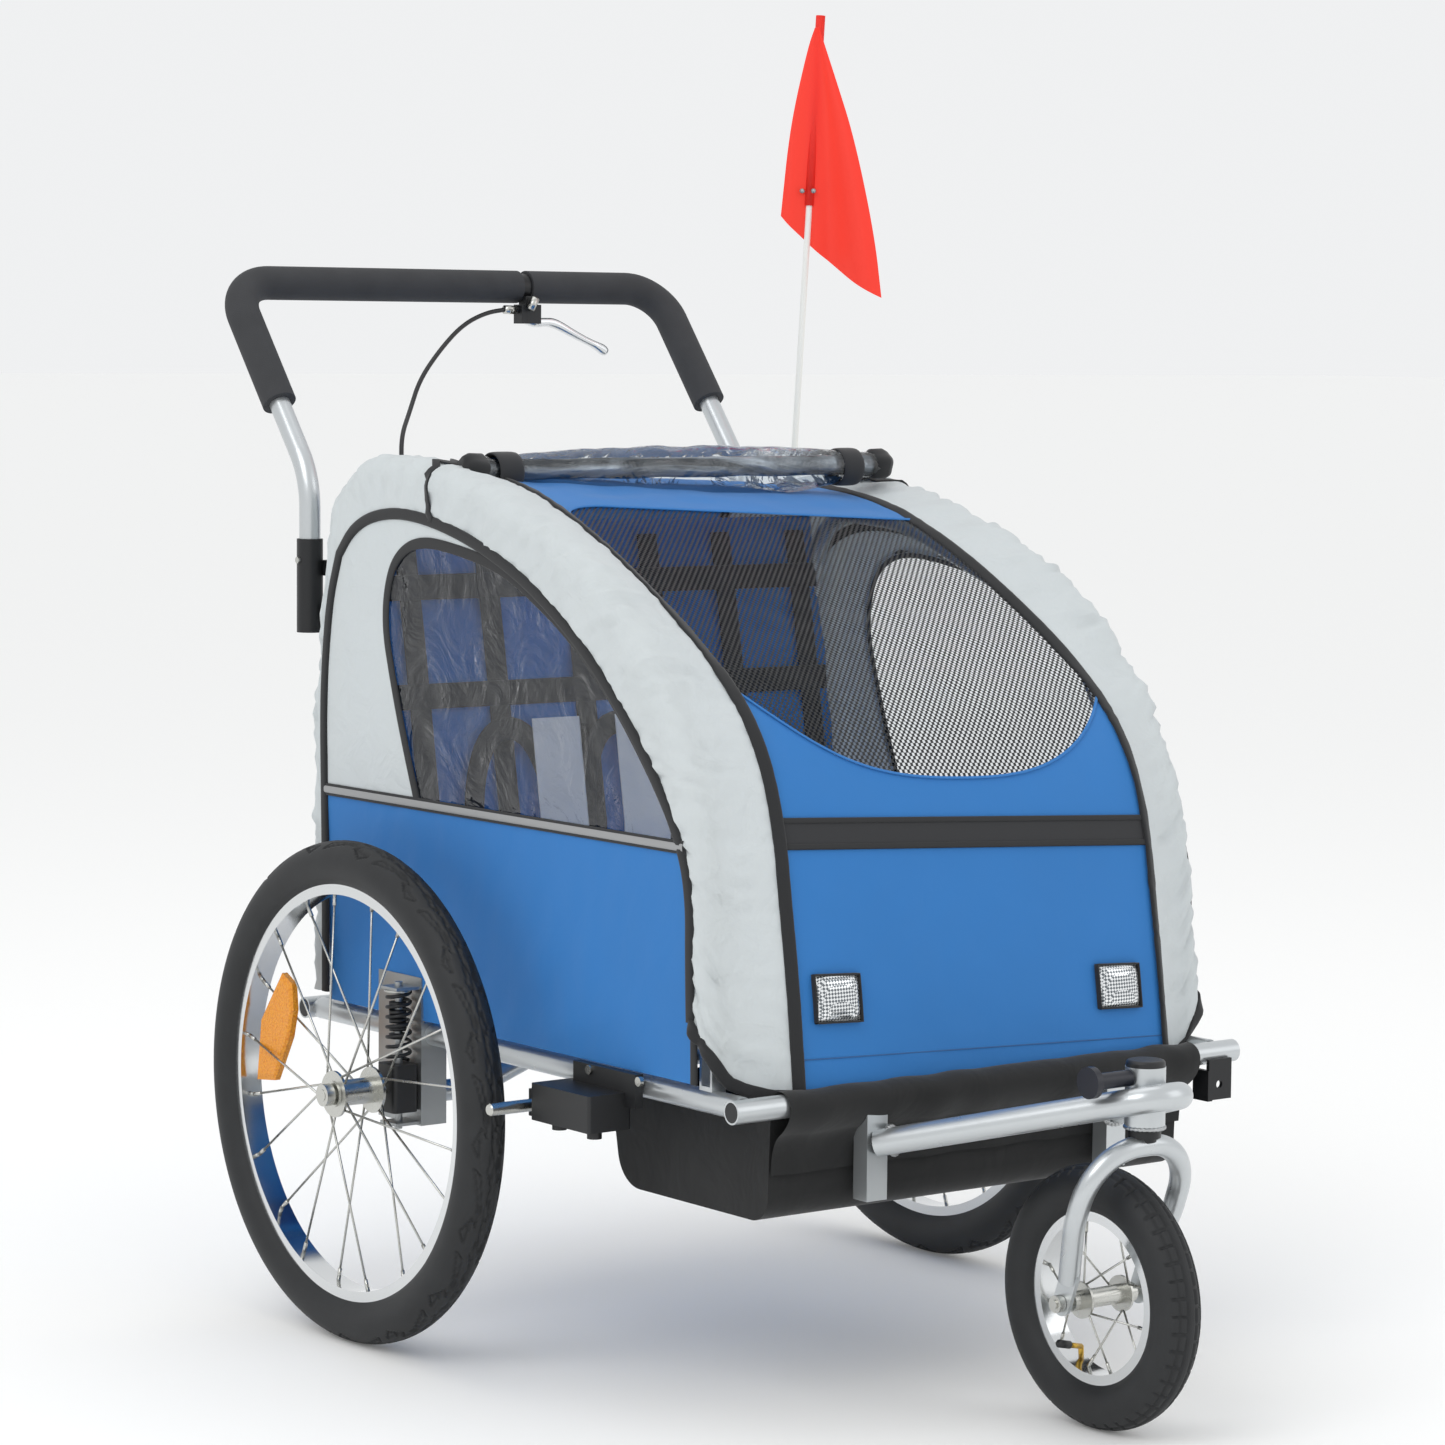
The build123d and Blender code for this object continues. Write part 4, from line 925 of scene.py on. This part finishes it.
tone.color_ramp.elements[1].position, tone.color_ramp.elements[1].color = 0.68, srgb("#B8BFC6")
painted_glint_film = add(
    tree, "BsdfPrincipled", Base_Color=tone.outputs[0], Roughness=0.1, Normal=bump, Metallic=0.4
).outputs[0]
surface(tree, painted_glint_film)
made = grid("rain_roll", rows, rolled, closed=True)
settle(made, ("rain_cover_roll",))
loose = np.clip(np.cos(np.clip(xs / 0.212, -1, 1) * pi / 2), 0, 1) ** 0.6
fat = 0.0135 + 0.0085 * loose + 0.0016 * ripples(xs, aa * 0.02, 81, 0.05, 0.04) * loose
sag = 0.013 * loose * np.clip(-np.sin(aa), 0, 1)
rows = np.stack([xs, ROLL_Y + fat * np.cos(aa) * 1.1 - 0.004 * loose, ROLL_Z + fat * np.sin(aa) - sag], -1)
settle(grid("rain_cover_outer_turn", rows, film, closed=True))
for side, hand, across in (("right", -0.222, 0.029), ("left", 0.212, 0.027)):
    a = np.linspace(0, 2 * pi, 49)
    centre = np.array([hand, ROLL_Y, ROLL_Z - 0.002])
    ring = centre + np.stack([0 * a, 0.0185 * np.cos(a), 0.0185 * np.sin(a)], -1)
    webbed(f"{side}_roll_strap", ring, (ring - centre) / 0.0185, across, 0.003, webbing)
    ends = []
    for off, r in ((0.244, 0.0125), (0.247, 0.0155), (0.262, 0.016), (0.268, 0.0135), (0.2685, 0.0)):
        turn = np.linspace(0, 2 * pi, 40, endpoint=False)
        bump = 1 + 0.06 * np.sin(5 * turn)
        ends.append(
            np.stack(
                [
                    np.full(40, np.sign(hand) * off), ROLL_Y + r * bump * np.cos(turn),
                    ROLL_Z + r * bump * np.sin(turn)
                ],
                -1
            )
        )
    settle(grid(f"{side}_roll_end", ends, binding, closed=True))

# ---- footwell ---------------------------------------------------------------------------------
# A black cloth tub that hangs between the floor tubes for the children's feet.

dress("footwell", black_cloth)
WRAP = [
    (-0.3175, 0.290), (-0.319, 0.305), (-0.327, 0.3148), (-0.338, 0.3148), (-0.347, 0.310),
    (-0.3505, 0.301), (-0.348, 0.290), (-0.340, 0.279), (-0.328, 0.270), (-0.322, 0.255),
    (-0.3205, 0.235),
]
x = np.linspace(-0.253, 0.253, 81)
rows = across_rows(smooth_line(WRAP, 60), x)
rows[..., 1:] += (ripples(rows[..., 0], rows[..., 2], 91, 0.05, 0.1) * 0.0012)[..., None]
apron = grid("footwell_apron", rows, black_cloth)
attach(apron, "chassis")
panel(apron)

# ---- front reflectors -------------------------------------------------------------------------
# Clear prismatic lenses 55 by 45 mm, sewn to the front panel.

lens, tree = blank("reflector_lens")
place = add(tree, "TexCoord").outputs["Object"]
turned = add(
    tree, "Mapping", Vector=place, Rotation=(0, radians(45), 0), Scale=(420.0, 420.0, 420.0)
).outputs[0]
cubes = add(
    tree, "TexChecker", Vector=turned, Scale=1.0, Color1=srgb("#F4F6F7"), Color2=srgb("#6E7478")
).outputs[0]
surface(tree, add(tree, "BsdfPrincipled", Base_Color=cubes, Roughness=0.12, Metallic=0.7).outputs[0])
LENS_X, LENS_Z = 0.0265, 0.0215  # half width and half height
LENS_AT = station(z=0.3845)
for side, middle in (("right", -0.178), ("left", 0.170)):
    x = np.linspace(-LENS_X, LENS_X, 25)
    z = np.linspace(-LENS_Z, LENS_Z, 17)
    xs, zs = np.meshgrid(x, z, indexing="ij")
    s = LENS_AT + zs
    base = cover_at(s, middle + xs)
    corner_soft = np.clip((np.abs(xs) / LENS_X) ** 6 + (np.abs(zs) / LENS_Z) ** 6, 0, 1)
    rows = base + np.array([0, -1, 0.1]) * (
        0.0095 * (1 - 0.6 * corner_soft) - 0.002 * np.abs(xs / LENS_X) ** 2
    )[..., None]
    made = grid(f"{side}_front_reflector", rows, lens)
    settle(made)
    ring = [(-LENS_X, -LENS_Z), (LENS_X, -LENS_Z), (LENS_X, LENS_Z), (-LENS_X, LENS_Z), (-LENS_X, -LENS_Z)]
    ring = np.array([p for i in range(4) for p in np.linspace(ring[i], ring[i + 1], 12)[:-1]] + [ring[0]])
    line = cover_at(LENS_AT + ring[:, 1], middle + ring[:, 0]) + np.array([0, -0.003, 0])
    webbed(f"{side}_reflector_rim", line, (0, -1, 0.1), 0.0022, 0.006, binding)

# ---- safety flag ------------------------------------------------------------------------------
# Bright nylon pennant on a white fibreglass pole, its pocket closed by two small rivets.

red, tree = blank("flag_nylon")
place = add(tree, "TexCoord").outputs["Object"]
weave = add(tree, "TexNoise", Vector=place, Scale=900.0, Detail=2.0).outputs["Fac"]
bump = add(tree, "Bump", Height=weave, Strength=0.15, Distance=0.0003).outputs[0]
dye = add(tree, "BsdfPrincipled", Base_Color=srgb("#FF3A2C"), Roughness=0.55, Normal=bump).outputs[0]
glow = add(tree, "BsdfTranslucent", Color=srgb("#FF4A36")).outputs[0]
surface(tree, add(tree, "MixShader", _0=0.35, _1=dye, _2=glow).outputs[0])
along = np.array([0.607, -0.795, 0.0])
front_of = np.array([-0.795, -0.607, 0.0])
root = np.array([0.349, AXLE_Y + 0.203, 1.133])
left_edge = smooth_line([(-0.030, 0.0), (-0.021, 0.10), (-0.003, 0.185), (0.005, 0.207)], 60)
right_edge = smooth_line([(0.085, -0.090), (0.076, -0.02), (0.052, 0.085), (0.030, 0.15), (0.010, 0.207)], 60)
t = np.linspace(0, 1, 40)
rows = []
for k in range(60):
    line = left_edge[k] * (1 - t[:, None]) + right_edge[k] * t[:, None]
    line[:, 1] -= 0.010 * np.sin(pi * t) * (1 - k / 59)
    wave = 0.010 * np.sin(2.6 * pi * t + 0.9) * (1 - k / 70) * np.clip(np.abs(line[:, 0]) / 0.02, 0, 1)
    rows.append(root + line[:, :1] * along + wave[:, None] * front_of + line[:, 1:] * np.array([0, 0, 1]))
rows = np.array(rows)
flag = grid("pennant", rows, red)
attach(flag, "chassis")
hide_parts("safety_flag")
pole_foot, pole_top = np.array([0.306, 0.405, 0.47]), np.array([0.363, 0.405, 1.352])
pole_way = (pole_top - pole_foot) / np.linalg.norm(pole_top - pole_foot)
low = pole_foot + pole_way * 0.676
pocket = rods("flag_pocket", [(low, pole_top + pole_way * 0.002)], 0.0052, red, 20)
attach(pocket, "chassis")
panel(flag)
rivets = []
for hand in (-1, 1):
    at = low + np.array([0, 0, 0.016]) + hand * 0.0065 * along + front_of * 0.004
    rivets.append((at, at + front_of * 0.004))
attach(rods("flag_rivets", rivets, 0.0026, dark_zinc, 16), "chassis")

# ---- brake lever ------------------------------------------------------------------------------
# Polished cast alloy blade with a ball end; a barrel adjuster and a clamp bolt in bright zinc.

LEVER_Y = 0.581
BLADE = [
    (0.090, 1.0185, 7), (0.098, 1.0150, 7.2), (0.106, 1.0128, 5.4), (0.116, 1.0135, 4.8),
    (0.125, 1.0128, 5.6), (0.135, 1.0095, 5.4), (0.150, 1.0025, 4.8), (0.166, 0.9955, 4.3),
    (0.180, 0.9900, 4.2), (0.188, 0.9865, 5.2), (0.194, 0.9835, 6.2), (0.199, 0.9800, 4.6),
    (0.2005, 0.979, 0.5)
]
blade = smooth_line([(x, z, h / 1000) for x, z, h in BLADE], 90, 2)
a = np.linspace(0, 2 * pi, 24, endpoint=False)
rows = []
for (x, z, h), (dx, dz) in zip(blade, np.gradient(blade[:, :2], axis=0)):
    across = np.array([-dz, 0, dx]) / np.hypot(dx, dz)
    deep = 0.0048 if h < 0.006 else 0.0058
    ring = np.sign(np.cos(a)) * np.abs(np.cos(a)) ** 0.7
    rows.append(
        np.array([x, LEVER_Y, z]) + across * (h * ring)[:, None] + np.array([0, 1, 0]) * (
            min(deep, h) * np.sin(a)
        )[:, None]
    )
lever = grid("lever_blade", rows, polished, closed=True)
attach(lever, "brake_lever")
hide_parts("brake_lever")
barrel = rods(
    "barrel_adjuster",
    [
        ((0.076, LEVER_Y, 1.0265), (0.061, LEVER_Y, 1.0268)),
        ((0.069, LEVER_Y, 1.0266), (0.064, LEVER_Y, 1.0267))
    ],
    0.0048, zinc, 20
)
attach(barrel, "handlebar")
bolt = rods(
    "clamp_bolt", [((0.0875, LEVER_Y - 0.0125, 1.027), (0.093, LEVER_Y - 0.0145, 1.040))], 0.0050, zinc, 6
)
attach(bolt, "handlebar")

# ---- brake cable ------------------------------------------------------------------------------
# Black 5 mm housing, free in the air between the lever and the frame, in one fixed loop.

LOOP = [
    (0.064, 0.581, 1.027), (0.036, 0.581, 1.023), (-0.001, 0.572, 1.009), (-0.043, 0.552, 0.982),
    (-0.082, 0.532, 0.950), (-0.107, 0.512, 0.918), (-0.139, 0.482, 0.887), (-0.152, 0.455, 0.840),
    (-0.130, 0.443, 0.740), (-0.070, 0.440, 0.620), (0.020, 0.438, 0.520), (0.110, 0.436, 0.440),
    (0.150, 0.430, 0.380), (0.150, 0.427, 0.318)
]
CABLE_R = 0.0025
loop = smooth_line(LOOP, 260, 3)
rows = []
a = np.linspace(0, 2 * pi, 12, endpoint=False)
for point, way in zip(loop, np.gradient(loop, axis=0)):
    way = way / np.linalg.norm(way)
    side = np.cross(way, [0.2, 1, 0.1])
    side /= np.linalg.norm(side)
    up = np.cross(way, side)
    rows.append(point + CABLE_R * (np.cos(a)[:, None] * side + np.sin(a)[:, None] * up))
housing = grid("cable_housing", rows, plastic("cable_housing", "#17181A", 0.35), closed=True)
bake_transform(housing)
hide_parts("brake_cable")

# ---- amber reflectors -------------------------------------------------------------------------
# Moulded amber lenses clipped between the spokes of each rear wheel.

amber, tree = blank("amber_lens")
place = add(tree, "TexCoord").outputs["Object"]
prisms = add(tree, "TexVoronoi", Vector=place, Scale=420.0).outputs["Distance"]
bump = add(tree, "Bump", Height=prisms, Strength=0.7, Distance=0.001).outputs[0]
tone = add(tree, "MixRGB", Fac=prisms, Color1=srgb("#F2A52A"), Color2=srgb("#D97E10")).outputs[0]
surface(tree, add(tree, "BsdfPrincipled", Base_Color=tone, Roughness=0.25, Normal=bump).outputs[0])
OUTLINE = [
    (0.132, 0.353), (0.113, 0.344), (0.110, 0.318), (0.118, 0.289), (0.146, 0.241), (0.181, 0.237),
    (0.173, 0.300)
]
for side, x in WHEELS.items():
    hand = -1 if side == "right" else 1
    points, faces = [], []
    count = len(OUTLINE)
    for level_x, shrink in ((-0.004, 1.0), (0.002, 1.0), (0.0045, 0.88)):
        middle = np.mean(OUTLINE, axis=0)
        for y, z in OUTLINE:
            y, z = middle + (np.array([y, z]) - middle) * shrink
            points.append((x + hand * level_x, AXLE_Y + y, z))
    for ring in (0, 1):
        faces += [
            (
                ring * count + k, ring * count + (k + 1) % count, (ring + 1) * count + (k + 1) % count,
                (ring + 1) * count + k
            )
            for k in range(count)
        ]
    faces += [tuple(range(2 * count, 3 * count)), tuple(range(count - 1, -1, -1))]
    lens_piece = mesh(side + "_spoke_reflector", points, faces, amber, smooth=False)
    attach(lens_piece, side + "_wheel")

# ---- spring boots, weld beads and valve -------------------------------------------------------
# Black rubber bump stops inside the springs, zinc washers over them, rippled weld beads at the
# front arm, and the front tyre's brass valve.

for side, hand in (("right", -1), ("left", 1)):
    washer = rods(
        side + "_spring_washer", [((hand * 0.321, AXLE_Y, 0.3462), (hand * 0.321, AXLE_Y, 0.3482))],
        0.0135, zinc, 32
    )
    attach(washer, "chassis")
    stops = [
        ((hand * 0.321, AXLE_Y, z), (hand * 0.321, AXLE_Y, z + 0.005))
        for z in np.arange(0.299, 0.336, 0.008)
    ]
    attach(rods(side + "_bump_stop", stops, 0.0088, black_plastic, 24), "chassis")


def bead(name, centre, axis, radius, thick, body):
    """A weld bead: a ring of overlapping ripples, thick (0.8 + 0.35 |sin 13t|) at angle t."""
    axis = np.array(axis, float) / np.linalg.norm(axis)
    one = np.cross(axis, [0.3, 0.2, 1.0])
    one /= np.linalg.norm(one)
    two = np.cross(axis, one)
    t, b = np.linspace(0, 2 * pi, 97), np.linspace(0, 2 * pi, 10, endpoint=False)
    rows = []
    for q in t:
        swell = thick * (0.8 + 0.35 * abs(sin(13 * q)))
        out = cos(q) * one + sin(q) * two
        rows.append(
            np.array(centre) + out * radius + swell * (np.cos(b)[:, None] * out + np.sin(b)[:, None] * axis)
        )
    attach(grid(name, rows, weld, closed=True), body)


weld = metal("weld_bead", "#B2B4B5", 0.3)
for side, hand in (("right", -1), ("left", 1)):
    bead(
        side + "_arm_weld", (hand * 0.137, -0.3535, 0.262), (hand * -0.475, -0.85, 0.228), 0.0125, 0.0028,
        "chassis"
    )
bead("head_weld", (0, -0.546, 0.2895), (0, 0, 1), 0.0175, 0.002, "chassis")
brass = metal("valve_brass", "#C9A24A", 0.3)
at = np.array([0.0, CASTER[1], CASTER[2]])
valve = [
    (at + (0.004, 0.030, -0.066), at + (-0.004, 0.022, -0.050)),
    (at + (-0.004, 0.022, -0.050), at + (-0.022, 0.020, -0.046))
]
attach(rods("front_valve", valve, 0.0026, brass, 14), "caster_wheel")
cap = [(at + (-0.020, 0.020, -0.0462), at + (-0.034, 0.019, -0.043))]
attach(rods("front_valve_cap", cap, 0.0038, black_plastic, 14), "caster_wheel")
